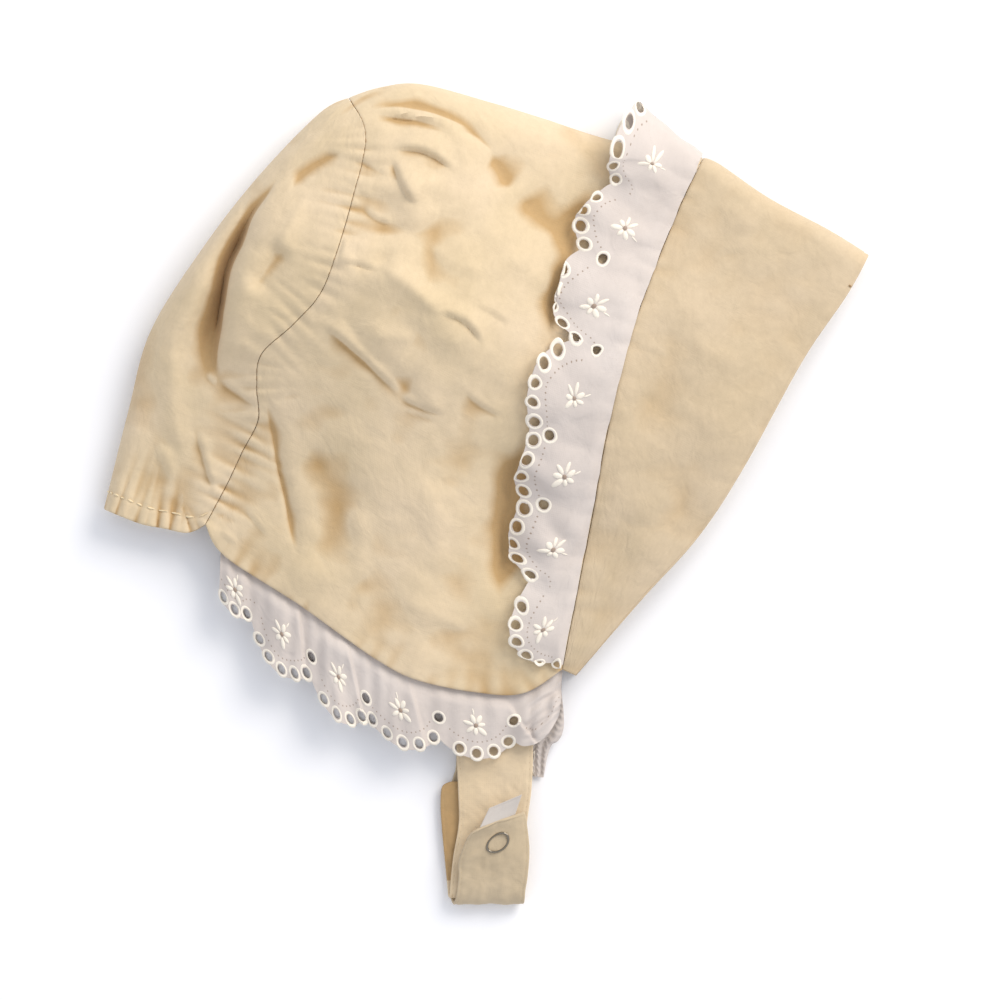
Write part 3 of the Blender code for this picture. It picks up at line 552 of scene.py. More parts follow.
def stitchRow(line, length, pitch, radius, look, height):  # short threads laid along a flat line
    deselect()
    bpy.ops.mesh.primitive_uv_sphere_add(segments=6, ring_count=5, radius=1.0)
    stitch = bpy.context.object
    stitch.name = "stitch"
    stitch.data.transform(Matrix.Diagonal((length / 2, radius, radius, 1)))
    stitch.data.materials.append(look)
    stitch.data.shade_smooth()
    line = np.array(line)
    reach = reachOf(line)
    wants = np.arange(pitch / 2, reach[-1], pitch)
    spots, ahead = along(line, reach, wants), along(line, reach, wants + pitch * 0.1)
    behind = along(line, reach, wants - pitch * 0.1)
    turns = np.arctan2(*(ahead - behind)[:, ::-1].T)
    return scatter(stitch, [(x, y, height, turn) for (x, y), turn in zip(spots, turns)], 0.15)


def finishPiece(piece, node):
    activate(piece)
    bpy.ops.object.shade_smooth_by_angle(angle=math.radians(60))
    deselect()
    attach(piece, "root")
    if node:
        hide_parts(node)
    print(piece.name, "done,", len(piece.data.polygons), "faces")


# Materials
def hexColour(code):
    parts = [int(code[k:k + 2], 16) / 255 for k in (1, 3, 5)]
    return tuple(c / 12.92 if c <= 0.04045 else ((c + 0.055) / 1.055) ** 2.4 for c in parts) + (1.0,)


def addNode(tree, kind, settings=(), **links):  # a link name such as i0 is an input's place
    node = tree.nodes.new(kind)
    for name, value in dict(settings).items():
        if name in node.inputs:
            node.inputs[name].default_value = value
        elif name[0] == "i" and name[1:].isdigit():
            node.inputs[int(name[1:])].default_value = value
        else:
            setattr(node, name, value)
    for name, source in links.items():
        target = node.inputs[int(name[1:])] if name[0] == "i" and name[1:].isdigit() else node.inputs[name]
        tree.links.new(source, target)
    return node


def newMaterial(name, roughness, metallic=0.0):
    material = bpy.data.materials.new(name)
    material.use_nodes = True
    shader = material.node_tree.nodes["Principled BSDF"]
    shader.inputs["Roughness"].default_value = roughness
    shader.inputs["Metallic"].default_value = metallic
    return material, material.node_tree, shader


bandScale = 0.3142  # a wave texture of this scale has one band for each metre


def plainCotton(name, paleTone, darkTone, paintedShade, threadMm, grain=0.06):
    # Washed plain-weave cotton: matt, a soft fuzz at grazing angles, thread rows and slubs that catch the
    # light, a colour that drifts a little over the cloth, and painted shade: a darker golden colour where
    # the attribute marks hollows and creases, for the shade and warm bounced light there
    material, tree, shader = newMaterial(name, 0.9)
    shader.inputs["Sheen Weight"].default_value = 0.12
    shader.inputs["Sheen Roughness"].default_value = 0.6
    shader.inputs["Specular IOR Level"].default_value = 0.2
    flat = addNode(tree, "ShaderNodeUVMap")
    drift = addNode(tree, "ShaderNodeTexNoise", {"Scale": 26.0, "Detail": 4.0},
                    Vector=flat.outputs["UV"])
    tone = addNode(tree, "ShaderNodeMapRange", {"From Min": 0.35, "From Max": 0.65},
                   Value=drift.outputs["Fac"])
    colour = addNode(tree, "ShaderNodeMix",
                     {"data_type": "RGBA", "i6": hexColour(darkTone), "i7": hexColour(paleTone)},
                     i0=tone.outputs["Result"])
    # Painted shade: the attribute mixes in the fourth colour where the cloth lies in hollows and creases
    depth = addNode(tree, "ShaderNodeAttribute", {"attribute_name": "paintedShade"})
    inside = addNode(tree, "ShaderNodeMapRange", {"From Min": 0.0, "From Max": 2.4, "To Max": 0.80},
                     Value=depth.outputs["Fac"])
    paintedShadeMix = addNode(tree, "ShaderNodeMix", {"data_type": "RGBA", "i7": hexColour(paintedShade)},
                     i0=inside.outputs["Result"], i6=colour.outputs[2])
    slub = addNode(tree, "ShaderNodeTexNoise", {"Scale": 420.0, "Detail": 4.0, "Roughness": 0.7},
                   Vector=flat.outputs["UV"])
    speckle = addNode(tree, "ShaderNodeMapRange",
                      {"From Min": 0.3, "From Max": 0.7, "To Min": 1.0 - grain, "To Max": 1.0 + grain * 0.4},
                      Value=slub.outputs["Fac"])
    shade = addNode(tree, "ShaderNodeMix", {"data_type": "RGBA", "blend_type": "MULTIPLY", "i0": 1.0},
                    i6=paintedShadeMix.outputs[2], i7=speckle.outputs["Result"])
    tree.links.new(shade.outputs[2], shader.inputs["Base Color"])
    rows = {"Scale": bandScale / (threadMm / 1000), "Distortion": 1.2, "Detail": 2.0, "Detail Scale": 0.6}
    warp, weft = [addNode(tree, "ShaderNodeTexWave", {"bands_direction": way, **rows},
                          Vector=flat.outputs["UV"]) for way in "XY"]
    weave = addNode(tree, "ShaderNodeMath", {"operation": "MULTIPLY"},
                    i0=warp.outputs["Fac"], i1=weft.outputs["Fac"])
    crinkle = addNode(tree, "ShaderNodeTexNoise", {"Scale": 150.0, "Detail": 3.0, "Distortion": 0.6},
                      Vector=flat.outputs["UV"])
    creased = addNode(tree, "ShaderNodeBump", {"Strength": 0.5, "Distance": 0.0009},
                      Height=crinkle.outputs["Fac"])
    rough = addNode(tree, "ShaderNodeBump", {"Strength": 0.25, "Distance": 0.0003},
                    Height=slub.outputs["Fac"], Normal=creased.outputs["Normal"])
    threads = addNode(tree, "ShaderNodeBump", {"Strength": 0.10, "Distance": 0.0002},
                      Height=weave.outputs["Value"], Normal=rough.outputs["Normal"])
    tree.links.new(threads.outputs["Normal"], shader.inputs["Normal"])
    return material


def pinHoles(material, hole, pitch, inside, holeShade):
    # Rows of tiny worked pin holes beside the eyelets, read from the second map: x runs along the
    # eyelets and y is the distance inside them, both in metres. The holes are painted as dark dots:
    # painted shade of the cloth below, seen through them
    tree = material.node_tree
    shader = tree.nodes["Principled BSDF"]
    before = shader.inputs["Base Color"].links[0].from_socket
    way = addNode(tree, "ShaderNodeUVMap", {"uv_map": "eyeletWay"})
    parts = addNode(tree, "ShaderNodeSeparateXYZ", Vector=way.outputs["UV"])
    run = addNode(tree, "ShaderNodeMath", {"operation": "PINGPONG", "i1": pitch / 2},
                  i0=parts.outputs["X"])
    off = addNode(tree, "ShaderNodeMath", {"operation": "SUBTRACT", "i1": inside},
                  i0=parts.outputs["Y"])
    place = addNode(tree, "ShaderNodeCombineXYZ", X=run.outputs["Value"], Y=off.outputs["Value"])
    away = addNode(tree, "ShaderNodeVectorMath", {"operation": "LENGTH"}, Vector=place.outputs["Vector"])
    dot = addNode(tree, "ShaderNodeMapRange",
                  {"From Min": hole / 2, "From Max": hole / 2 * 0.6, "To Max": 0.75},
                  Value=away.outputs["Value"])
    mixed = addNode(tree, "ShaderNodeMix", {"data_type": "RGBA", "i7": hexColour(holeShade)},
                    i0=dot.outputs["Result"], i6=before)
    tree.links.new(mixed.outputs[2], shader.inputs["Base Color"])


def satinThread(name, colour, roughness=0.55):
    # Twisted cotton thread laid side by side: brighter than the cloth, finely ribbed
    material, tree, shader = newMaterial(name, roughness)
    shader.inputs["Base Color"].default_value = hexColour(colour)
    shader.inputs["Sheen Weight"].default_value = 0.2
    place = addNode(tree, "ShaderNodeTexCoord")
    ribs = addNode(tree, "ShaderNodeTexNoise", {"Scale": 1500.0, "Detail": 2.0},
                   Vector=place.outputs["Object"])
    bump = addNode(tree, "ShaderNodeBump", {"Strength": 0.4, "Distance": 0.0003},
                   Height=ribs.outputs["Fac"])
    tree.links.new(bump.outputs["Normal"], shader.inputs["Normal"])
    return material


# The fourth colour of each cotton is painted shade, for its hollows and creases
khaki = plainCotton("khakiCotton", "#dcc8a9", "#d5c19e", "#b8945f", 0.6)
# A darker copy of the khaki: painted shade for the strap end turned under inside the loop
khakiShadedInLoop = plainCotton("khakiShadedInLoop", "#bd9f74", "#b29265", "#a98655", 0.6)
# A darker and a lighter copy of the khaki: painted shade on the far strap, which faces away from the lamp,
# and painted light on the near strap
shadedStrapKhaki = plainCotton("strapKhakiShaded", "#cab89b", "#c1af91", "#b09a76", 0.6)
litStrapKhaki = plainCotton("litStrapKhaki", "#e0ccad", "#d9c4a2", "#cda873", 0.6)
palePeak = plainCotton("paleKhakiCotton", "#cfbc9f", "#c8b596", "#c2a67c", 0.6)
voile = plainCotton("eyeletVoile", "#d4cbc4", "#ccc2ba", "#cbbcae", 0.5, 0.03)
thread = satinThread("eyeletThread", "#efe7d8")
# Dark thread colour for the flowers' eyes: painted shade of the hole in their middle
eyeHoleShade = satinThread("eyeletShadow", "#9c8878")
seamThread = satinThread("seamThread", "#9a7a52")
topThread = satinThread("topThread", "#b99c72")
hemThread = satinThread("hemThread", "#e9d5ae")

# Scallops of the brim lace as (end along the seam, notch, tip), shares of the face seam and lace width
lace = {
    "width": 0.0280,
    "flare": 0.0105,
    "flareReach": 0.10,
    "flareReachFar": 0.05,
    "ruffle": 0.0011,
    "slide": 0.035,          # share of the seam by which the free edge sits nearer the top
    "scallops": [(0.13, 0.74, 0.95), (0.26, 0.78, 0.97), (0.41, 0.55, 1.00), (0.57, 0.84, 0.96),
                 (0.69, 0.76, 0.84), (0.83, 0.55, 0.80), (0.985, 0.30, 0.70)],
    "cloth": 0.0005,         # the voile itself
    "spacing": 0.00042,
    "farSpacing": 0.0010,
    "fineFrom": -0.02,       # place along the lace where the fine grid starts, just past the fold
    "hole": 0.0027,
    "ring": 0.0010,          # width of the satin stitch round a hole
    "pitch": 0.0050,
    "rim": 0.0003,           # cloth left between a hole and the free edge
    "innerAt": (1, 2, 3, 4, 6),   # notches with one more eyelet inside the row
    "gather": 0.00045,       # height of the gathers
    "pinHole": 0.00055,
    "pinPitch": 0.0015,
    "pinInside": 0.0034,     # from the line of eyelets to the pin holes
}

# The pin holes' dots are painted in the shaded colour of the cloth below them
pinHoles(voile, lace["pinHole"], lace["pinPitch"], lace["pinInside"], "#8f7a66")

strap = {"axis": 0.8225, "width": 0.0231, "drop": 0.0624, "layer": 0.0018}


def strapPlace(drop, side, layer):
    top = edgeAt(neckEdge, np.array([strap["axis"]]))[0]
    return np.array([top[0] + side * strap["width"], top[1] - drop * strap["drop"],
                     form["wall"] / 2 + layer * strap["layer"]])


# The plan is hung on the frame by the brim's tip and by the crown's top fold
def placeInFrame():
    tipRun = brimTop[0][-1] - brimTop[0][-2]
    tipOut = abs(tipRun[1]) / np.linalg.norm(tipRun)
    tipX = brimTop[0][-1][0] + tipOut * form["wall"] / 2
    topY = crownTop[0][:, 1].max() + form["wall"] / 2
    return np.array([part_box("brim")[1][0] - tipX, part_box("crown")[1][1] - topY, 0.0])


hang = placeInFrame()
print("plan hung on the frame", hang)


def sidePlace(patch, width):
    def place(x, y):
        share = y / form["faceSeam"]
        return cloth(patches[patch](x / width, turnedShare(np.abs(share))), share < 0, share == 0)
    return place


def sideStops(spacing, farSpacing, foldShare=0.12, foldSpacing=0.0010):
    # down the far side, over the fold and down the near side
    length = form["faceSeam"]
    fold = foldShare * length
    return np.concatenate([even(-length, -fold, farSpacing)[:-1], even(-fold, fold, foldSpacing),
                           rimmed(fold, length, spacing)[6:]])


def makeCrown():
    values = {"across": 0.00068, "spacing": 0.00070, "farSpacing": 0.0050, "cloth": 0.0010,
              "inset": 0.00012, "rim": 0.0009, "stitch": 0.0017, "pitch": 0.0025, "thread": 0.00024,
              "seamHeight": 0.00028}
    width, length = form["crownTop"], form["faceSeam"]
    piece = flatSheet("crownCloth", rimmed(values["inset"], width - values["inset"], values["across"]),
                      sideStops(values["spacing"], values["farSpacing"]))
    thicken(piece, values["cloth"])
    roundRim(piece, lambda x, y: np.minimum(np.minimum(x, width - x), length - np.abs(y)), values["rim"])
    piece.data.materials.append(khaki)
    joinTo(piece, stitchRow([(0.0, 0.001), (0.0, length)], values["stitch"], values["pitch"],
                            values["thread"], seamThread, values["seamHeight"]))
    drape(piece, sidePlace("crown", width), 1.0)
    finishPiece(piece, "crown")


def makeBrim():
    values = {"across": 0.0009, "spacing": 0.0009, "farSpacing": 0.0050, "cloth": 0.0010,
              "inset": 0.00012, "rim": 0.0009, "hem": 0.0013, "stitch": 0.0021, "pitch": 0.0025,
              "thread": 0.00017, "seamHeight": 0.00010, "bar": 0.0013, "barAt": 0.0150,
              "barThread": 0.00045, "barHeight": 0.00040}
    width, length = form["brimTop"], form["faceSeam"]
    piece = flatSheet("brimCloth", rimmed(values["inset"], width, values["across"]),
                      sideStops(values["spacing"], values["farSpacing"]))
    thicken(piece, values["cloth"])
    roundRim(piece, lambda x, y: np.minimum(np.minimum(x, width - x), length - np.abs(y)), values["rim"])
    press(piece, lambda x, y: width - x - values["hem"])
    piece.data.materials.append(palePeak)
    seam = stitchRow([(0.0, 0.001), (0.0, length)], values["stitch"], values["pitch"],
                     values["thread"], seamThread, values["seamHeight"])
    bar = [(width - values["bar"], values["barAt"]), (width, values["barAt"])]
    joinTo(piece, seam + stitchRow(bar, values["bar"], values["bar"], values["barThread"], seamThread,
                                   values["barHeight"]))
    drape(piece, sidePlace("brim", width), 0.5)
    finishPiece(piece, "brim")


def makeBack():
    values = {"spacing": 0.0006, "down": 0.0007, "cloth": 0.0010, "inset": 0.00012, "rim": 0.0009,
              "width": 0.050, "length": 0.135, "hem": 0.0050, "stitch": 0.0032, "pitch": 0.0043,
              "thread": 0.00030}
    width, length, inset = values["width"], values["length"], values["inset"]
    piece = flatSheet("backCloth", rimmed(-width + inset, width - inset, values["spacing"]),
                      rimmed(inset, length, values["down"]))
    thicken(piece, values["cloth"])
    roundRim(piece, lambda x, y: np.minimum(np.minimum(width - np.abs(x), y), length - y),
             values["rim"])
    press(piece, lambda x, y: length - y - values["hem"])
    piece.data.materials.append(khaki)
    hem = length - values["hem"]
    joinTo(piece, stitchRow([(-width, hem), (width, hem)], values["stitch"], values["pitch"],
                            values["thread"], hemThread, values["cloth"] / 2))

    def place(x, y):
        return cloth(patches["back"](np.cos(math.pi / 2 * np.minimum(np.abs(x) / width, 1.0)), y / length),
                     x < 0, x == 0)
    drape(piece, place, 0.8)
    finishPiece(piece, "back_panel")


def scallopShare(scallops, start, share):
    ends = np.array([start] + [end for end, notch, tip in scallops])
    notches = np.array([scallops[0][1]] + [notch for end, notch, tip in scallops])
    tips = np.array([tip for end, notch, tip in scallops])
    pick = np.clip(np.searchsorted(ends, share) - 1, 0, len(tips) - 1)
    place = np.clip((share - ends[pick]) / (ends[pick + 1] - ends[pick]), 0.0, 1.0)
    edge = notches[pick] + (notches[pick + 1] - notches[pick]) * place
    return edge + (tips[pick] - edge) * np.sin(math.pi * place) ** 0.7, place


def gathers(x, y, scale=1.0):  # slanting folds of a gathered lace, never below zero
    values = {"run": 0.0140, "slant": 0.6, "bendSize": 0.030, "patchSize": 0.035, "softSize": 0.010}
    flat = np.column_stack([x, y])
    bend = 1.6 * wavy(flat, values["bendSize"], 31)
    wave = np.sin(math.tau * (x + values["slant"] * y) / values["run"] + bend)
    patchy = smooth(0.5 + 0.6 * wavy(flat, values["patchSize"], 32))
    soft = np.clip(wavy(flat * (1.0, 0.5), values["softSize"], 33), -1.6, 1.6)
    return lace["gather"] * scale * (2.2 + 1.2 * wave * patchy + 0.6 * soft)


def ringPlaces(scallops, start, length, inset):  # holes along the scalloped edge, flowers, ring line
    holes, flowers, lines = [], [], []
    begin = start
    for notchNumber, (end, notch, tip) in enumerate(scallops):
        share = np.linspace(begin, end, 80)
        width = scallopShare(scallops, start, share)[0] * lace["width"]
        edge = np.column_stack([share * length, width - inset])
        reach = reachOf(edge)
        count = max(int(round(reach[-1] / lace["pitch"])), 2)
        holes += list(along(edge, reach, (np.arange(count) + 0.5) * reach[-1] / count))
        if notchNumber in lace["innerAt"]:
            holes.append(np.array([end * length, notch * lace["width"] - inset - lace["pitch"] * 0.80]))
        flowers.append((0.5 * (begin + end) * length, 0.50 * tip * lace["width"]))
        lines.append(edge)
        begin = end
    return np.array(holes), flowers, np.vstack(lines)


def clearOf(holes, least):  # drops holes that would run into an earlier one
    kept = []
    for hole in holes:
        if all(np.linalg.norm(hole - other) > least for other in kept):
            kept.append(hole)
    return np.array(kept)


def cutHoles(piece, holes, radius, spacing):
    activate(piece)
    bpy.ops.object.mode_set(mode="EDIT")
    bpy.ops.mesh.select_mode(type="VERT")
    bpy.ops.mesh.select_all(action="DESELECT")
    bpy.ops.object.mode_set(mode="OBJECT")
    spots = spotsOf(piece)[:, :2]
    away = np.min([np.linalg.norm(spots - hole, axis=1) for hole in holes], axis=0)
    piece.data.vertices.foreach_set("select", away < radius - spacing / 2)
    bpy.ops.object.mode_set(mode="EDIT")
    bpy.ops.mesh.delete(type="VERT")
    bpy.ops.object.mode_set(mode="OBJECT")
    spots = spotsOf(piece)
    for hole in holes:  # what is left round the hole goes onto its circle
        off = spots[:, :2] - hole
        gap = np.linalg.norm(off, axis=1)
        rim = gap < radius + spacing * 0.6
        spots[rim, :2] = hole + off[rim] / gap[rim, None] * radius
    setSpots(piece, spots)


def ringTemplate(radius, width):
    deselect()
    bpy.ops.mesh.primitive_torus_add(major_segments=20, minor_segments=6, major_radius=radius + width / 2,
                                     minor_radius=width / 2)
    ring = bpy.context.object
    ring.name = "ring"
    ring.data.transform(Matrix.Scale(0.75, 4, (0, 0, 1)))
    ring.data.materials.append(thread)
    ring.data.shade_smooth()
    return ring


def flowerTemplate():
    petals = {"count": 7, "length": 0.0030, "width": 0.0015, "height": 0.0007, "eye": 0.0007,
              "stem": 0.0022, "stemWidth": 0.0005}
    deselect()
    bpy.ops.mesh.primitive_uv_sphere_add(segments=10, ring_count=6, radius=0.5)
    petal = bpy.context.object
    petal.name = "flower"
    petal.data.shade_smooth()
    base = petal.data.copy()
    petal.data.transform(Matrix.Translation((petals["eye"] + petals["length"] / 2, 0, 0))
                         @ Matrix.Diagonal((petals["length"], petals["width"], petals["height"], 1)))
    petal.data.materials.append(thread)
    turns = [math.tau * k / petals["count"] for k in range(petals["count"])]
    copies = scatter(petal, [(0, 0, 0, turn) for turn in turns], 0.25)
    # The eye is a dark flat dot: painted shade of the hole in the flower's middle
    eye = bpy.data.objects.new("eye", base.copy())
    eyeWidth = petals["eye"] * 1.9
    eye.data.transform(Matrix.Diagonal((eyeWidth, eyeWidth, petals["height"] * 0.9, 1)))
    eye.data.materials.append(eyeHoleShade)
    stem = bpy.data.objects.new("stem", base)
    stem.data.transform(Matrix.Translation((0, -petals["length"] - petals["stem"] / 2, 0))
                        @ Matrix.Diagonal((petals["stemWidth"], petals["stem"], petals["height"] * 0.6, 1)))
    stem.data.materials.append(thread)
    for part in (eye, stem):
        bpy.context.collection.objects.link(part)
    joinTo(copies[0], copies[1:] + [eye, stem])
    return copies[0]


def eyeletSheet(name, acrossStops, widthAt, spacing, holes, flowers, root):
    plain = 0.30  # share of the width without holes, where a coarse grid is enough
    downStops = np.concatenate([[0.0], even(0.0, plain, 0.05)[1:-1],
                                even(plain, 1.0, spacing / lace["width"])])
    piece = flatSheet(name, acrossStops, downStops)
    spots = spotsOf(piece)
    spots[:, 1] = root + (widthAt(spots[:, 0]) - root) * spots[:, 1]
    setSpots(piece, spots)
    radius = lace["hole"] / 2
    cutHoles(piece, holes, radius, spacing)
    thicken(piece, lace["cloth"])
    piece.data.materials.append(voile)
    rings = scatter(ringTemplate(radius, lace["ring"]), [(x, y, 0, 0) for x, y in holes], 0.07)
    turns = np.random.default_rng(7).uniform(-0.6, 0.6, len(flowers))
    blooms = scatter(flowerTemplate(),
                     [(x, y, lace["cloth"] / 2, turn) for (x, y), turn in zip(flowers, turns)])
    joinTo(piece, rings + blooms)
    return piece


def mapEyelets(piece, line):  # the second map: x along the line of eyelets, y inside it
    line = line[np.append(True, np.diff(reachOf(line)) > 0)]
    spots = spotsOf(piece)[:, :2]
    off, out, where = nearest(line, spots)
    back = spots - along(line, reachOf(line), where)
    where = where + lace["pinInside"] * np.arctan2(back[:, 1], back[:, 0])  # round a notch too
    corner = np.empty(len(piece.data.loops), int)
    piece.data.loops.foreach_get("vertex_index", corner)
    way = piece.data.uv_layers.new(name="eyeletWay")
    way.data.foreach_set("uv", np.column_stack([where, -off])[corner].ravel())


def makeBrimLace():
    length = form["faceSeam"]
    scallops = lace["scallops"]

    def widthAt(x):
        return scallopShare(scallops, 0.0, np.abs(x) / length)[0] * lace["width"]

    def place(x, y):
        share = np.abs(x) / length
        width, spot = scallopShare(scallops, 0.0, share)
        out = np.clip(y / (width * lace["width"]), 0.0, 1.3)
        down = turnedShare(np.maximum(share - lace["slide"] * out * smooth(share / 0.2), 0.0))
        span = np.linalg.norm(edgeAt(backSeam, down) - edgeAt(faceSeam, down), axis=1)
        middle, facing = cloth(patches["crown"](1 - (form["gap"] + y) / span, down), x < 0, x == 0)
        reach = np.where(x < 0, lace["flareReachFar"], lace["flareReach"])
        stand = form["wall"] / 2 + form["laceGap"] + form["laceWall"] / 2
        stand = stand + lace["flare"] * out ** 1.2 * np.exp(-(share / reach) ** 2)
        ruffle = lace["ruffle"] * out * (1 - np.cos(math.tau * spot)) * smooth(share / 0.1)
        ruffle += gathers(x, y) * smooth(out / 0.15)
        stand = stand + np.where(x > 0, ruffle, 0.0)
        middle = middle + facing * stand[:, None]
        middle[:, 2] = np.maximum(middle[:, 2], form["laceWall"] / 2)
        return middle, facing

    inset = lace["hole"] / 2 + lace["rim"]
    holes, flowers, line = ringPlaces(scallops, 0.0, length, inset)
    holes = np.vstack([holes, holes * (-1, 1)])
    holes = clearOf(holes, lace["hole"] + lace["ring"] * 1.1)
    flowers = flowers + [(-x, y) for x, y in flowers]
    end = scallops[-1][0] * length
    fine = lace["fineFrom"]
    stops = np.concatenate([even(-end, fine, lace["farSpacing"])[:-1], even(fine, end, lace["spacing"])])
    piece = eyeletSheet("brimLace", stops, widthAt, lace["spacing"], holes, flowers, 0.0)
    mapEyelets(piece, np.vstack([line[::-1] * (-1, 1), line]))
    drape(piece, place)
    finishPiece(piece, "brim_lace")


def makeNeckLace(name, node, far):
    values = {"from": 0.075, "tilt": -92.0, "tuck": 0.0030, "drop": 0.25, "settle": 0.30,
              "crumpled": 0.88, "crumpleRun": 0.0005, "crumpleRow": 0.00022, "crumpleRise": 0.0006,
              "crumpleShift": 0.0005, "pleatRise": 0.0013, "pleatFall": 0.0004, "pleatRun": 0.0055,
              "pleats": [(0.30, 0.15), (0.44, 0.35), (0.615, 0.32), (0.845, 0.60)],  # share and slant
              "scallops": [(0.17, 0.45, 0.54), (0.34, 0.66, 0.86), (0.50, 0.68, 0.92),
                           (0.69, 0.54, 0.78), (0.87, 0.48, 0.71), (1.00, 0.46, 0.62)]}
    scallops = values["scallops"]
    length = neckEdge[1][-1]

    def widthAt(x):
        return scallopShare(scallops, values["from"], x / length)[0] * lace["width"]

    def place(x, y):
        share = x / length
        spot = scallopShare(scallops, values["from"], share)[1]
        hem = edgeAt(neckEdge, share)
        depth = np.linalg.norm(edgeAt(crownTop, share) - hem, axis=1)
        tucked = patches["crown"](share, 1 + np.minimum(y, 0) / depth)
        run = np.maximum(y, 0)
        points = tucked + turned(values["tilt"]) * run[:, None]
        stack = form["wall"] / 2 + form["laceGap"] + form["laceWall"] / 2
        carried = cloth(tucked, np.full(len(x), far), np.full(len(x), False))[0][:, 2]
        loose = run / lace["width"]
        if far:
            rise = carried + stack
            rise = rise + (form["laceWall"] / 2 - rise) * smooth(loose / values["settle"])
        else:
            rise = (carried - stack) * (1 - values["drop"] * smooth(loose))
            rise = rise + lace["ruffle"] * loose * (1 - np.cos(math.tau * spot))
            rise = rise + (gathers(x, y, 1.2) - lace["gather"]) * smooth(loose / 0.15)
            for at, slant in values["pleats"]:
                off = x - at * length - slant * y
                fold = 0.5 - 0.5 * np.tanh(off / values["pleatFall"])
                fold = values["pleatRise"] * fold * np.exp(-np.abs(off) / values["pleatRun"])
                rise = rise + fold * smooth(loose / 0.2)
            crumple = smooth((share - values["crumpled"]) / 0.05) * smooth(loose / 0.2)
            flat = np.column_stack([x, y])
            rows = values["crumpleRow"] * np.sin(y / values["crumpleRun"] + 2.0 * wavy(flat, 0.010, 8))
            rise = rise + crumple * (rows + values["crumpleRise"] * wavy(flat, 0.008, 9))
            points = points + (crumple * values["crumpleShift"] * wavy(flat, 0.007, 10))[:, None]
        return np.column_stack([points, rise]), np.tile((0.0, 0.0, 1.0), (len(x), 1))

    inset = lace["hole"] / 2 + lace["rim"]
    holes, flowers, line = ringPlaces(scallops, values["from"], length, inset)
    holes = clearOf(holes, lace["hole"] + lace["ring"] * 1.1)
    if not far:  # its last scallop is crumpled up beside the chin
        holes = holes[holes[:, 0] < values["crumpled"] * length]
        flowers = flowers[:-1]
    stops = even(values["from"] * length, length, lace["spacing"])
    piece = eyeletSheet(name, stops, widthAt, lace["spacing"], holes, flowers, -values["tuck"])
    mapEyelets(piece, line)
    drape(piece, place)
    finishPiece(piece, node)


# Strap stations as (drop, left, right, layer, slant, lift): share of the drop, shares of the width from
# the axis, layers above the floor, then, where it isn't 0, the share of the drop by which the right edge
# is lower than the left and the left edge's lift in layers
nearStations = [
    (-0.05, -0.50, 0.50, 3.60), (0.10, -0.50, 0.50, 3.35), (0.25, -0.50, 0.50, 2.55),
    (0.45, -0.48, 0.48, 2.05), (0.62, -0.47, 0.42, 2.00), (0.78, -0.54, 0.39, 2.00),
    (0.92, -0.58, 0.38, 2.00), (0.965, -0.59, 0.37, 1.80), (0.975, -0.60, 0.37, 1.50),
    (0.965, -0.61, 0.36, 1.20), (0.92, -0.62, 0.36, 1.00), (0.60, -0.70, 0.28, 1.00),
    (0.47, -0.70, 0.28, 1.10), (0.435, -0.66, 0.24, 1.15), (0.42, -0.56, 0.14, 1.15),
]
farStations = [
    (-0.05, -0.50, 0.43, 2.70), (0.05, -0.50, 0.43, 2.65), (0.17, -0.50, 0.43, 1.60),
    (0.27, -0.50, 0.43, 0.90), (0.36, -0.51, 0.42, 0.70), (0.41, -0.55, 0.39, 0.10),
    (0.55, -0.62, 0.32, 0.00), (0.80, -0.62, 0.32, 0.00), (0.94, -0.60, 0.34, 0.00),
    (0.99, -0.57, 0.36, 0.60), (1.005, -0.54, 0.38, 1.50), (0.985, -0.51, 0.39, 2.50),
    (0.94, -0.49, 0.40, 3.05), (0.87, -0.47, 0.43, 3.35, 0.0, 0.1), (0.80, -0.47, 0.45, 3.70, -0.05, 0.4),
    (0.71, -0.38, 0.42, 4.40, -0.085, 1.3), (0.67, -0.31, 0.40, 4.75, -0.090, 1.8),
    (0.65, -0.22, 0.38, 4.90, -0.085, 2.0),
]


def strapForm(stations):
    rows = [(*station, 0.0, 0.0)[:6] for station in stations]
    left = curveThrough([strapPlace(drop, a, layer + lift) for drop, a, b, layer, slant, lift in rows], 12)
    right = curveThrough([strapPlace(drop + slant, b, layer) for drop, a, b, layer, slant, lift in rows],
                         12)
    reach = reachOf((left + right) / 2)
    run = np.gradient(left + right, axis=0)
    out = -np.cross(right - left, run)
    out /= np.linalg.norm(out, axis=1)[:, None]

    def place(x, y):
        share = (x / strap["width"] + 0.5)[:, None]
        a, b = along(left, reach, y), along(right, reach, y)
        facing = along(out, reach, y)
        return a + (b - a) * share, facing / np.linalg.norm(facing, axis=1)[:, None]
    return place, reach[-1]


def snapSpot():
    # Flat place of the snap on the turned-up strap end, and the run on the plan of a flat run there
    values = {"end": 0.026, "spacing": 0.0003, "shift": 0.0010}  # the ring sits that much above snap_cap
    place, length = strapForm(farStations)
    half = strap["width"] / 2
    x, y = [part.ravel() for part in np.meshgrid(even(-half, half, values["spacing"]),
                                                 even(length - values["end"], length, values["spacing"]))]
    low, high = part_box("snap_cap")
    middle = np.array((low + high) / 2) + (0, values["shift"], 0)
    pick = np.linalg.norm(place(x, y)[0][:, :2] + hang[:2] - middle[:2], axis=1).argmin()
    step = form["slopeStep"]
    plan = place(x[pick] + np.array([0, step, 0]), y[pick] + np.array([0, 0, step]))[0][:, :2]
    return np.array([x[pick], y[pick]]), (plan[1:] - plan[0]).T / step


snap = {"ring": 0.0080, "oval": 0.60, "wire": 0.0008, "turn": math.radians(37), "tilt": 0.35,
        "reach": 0.0062, "sunk": 0.0008, "flat": 0.7}
snap["spot"], snap["plan"] = snapSpot()


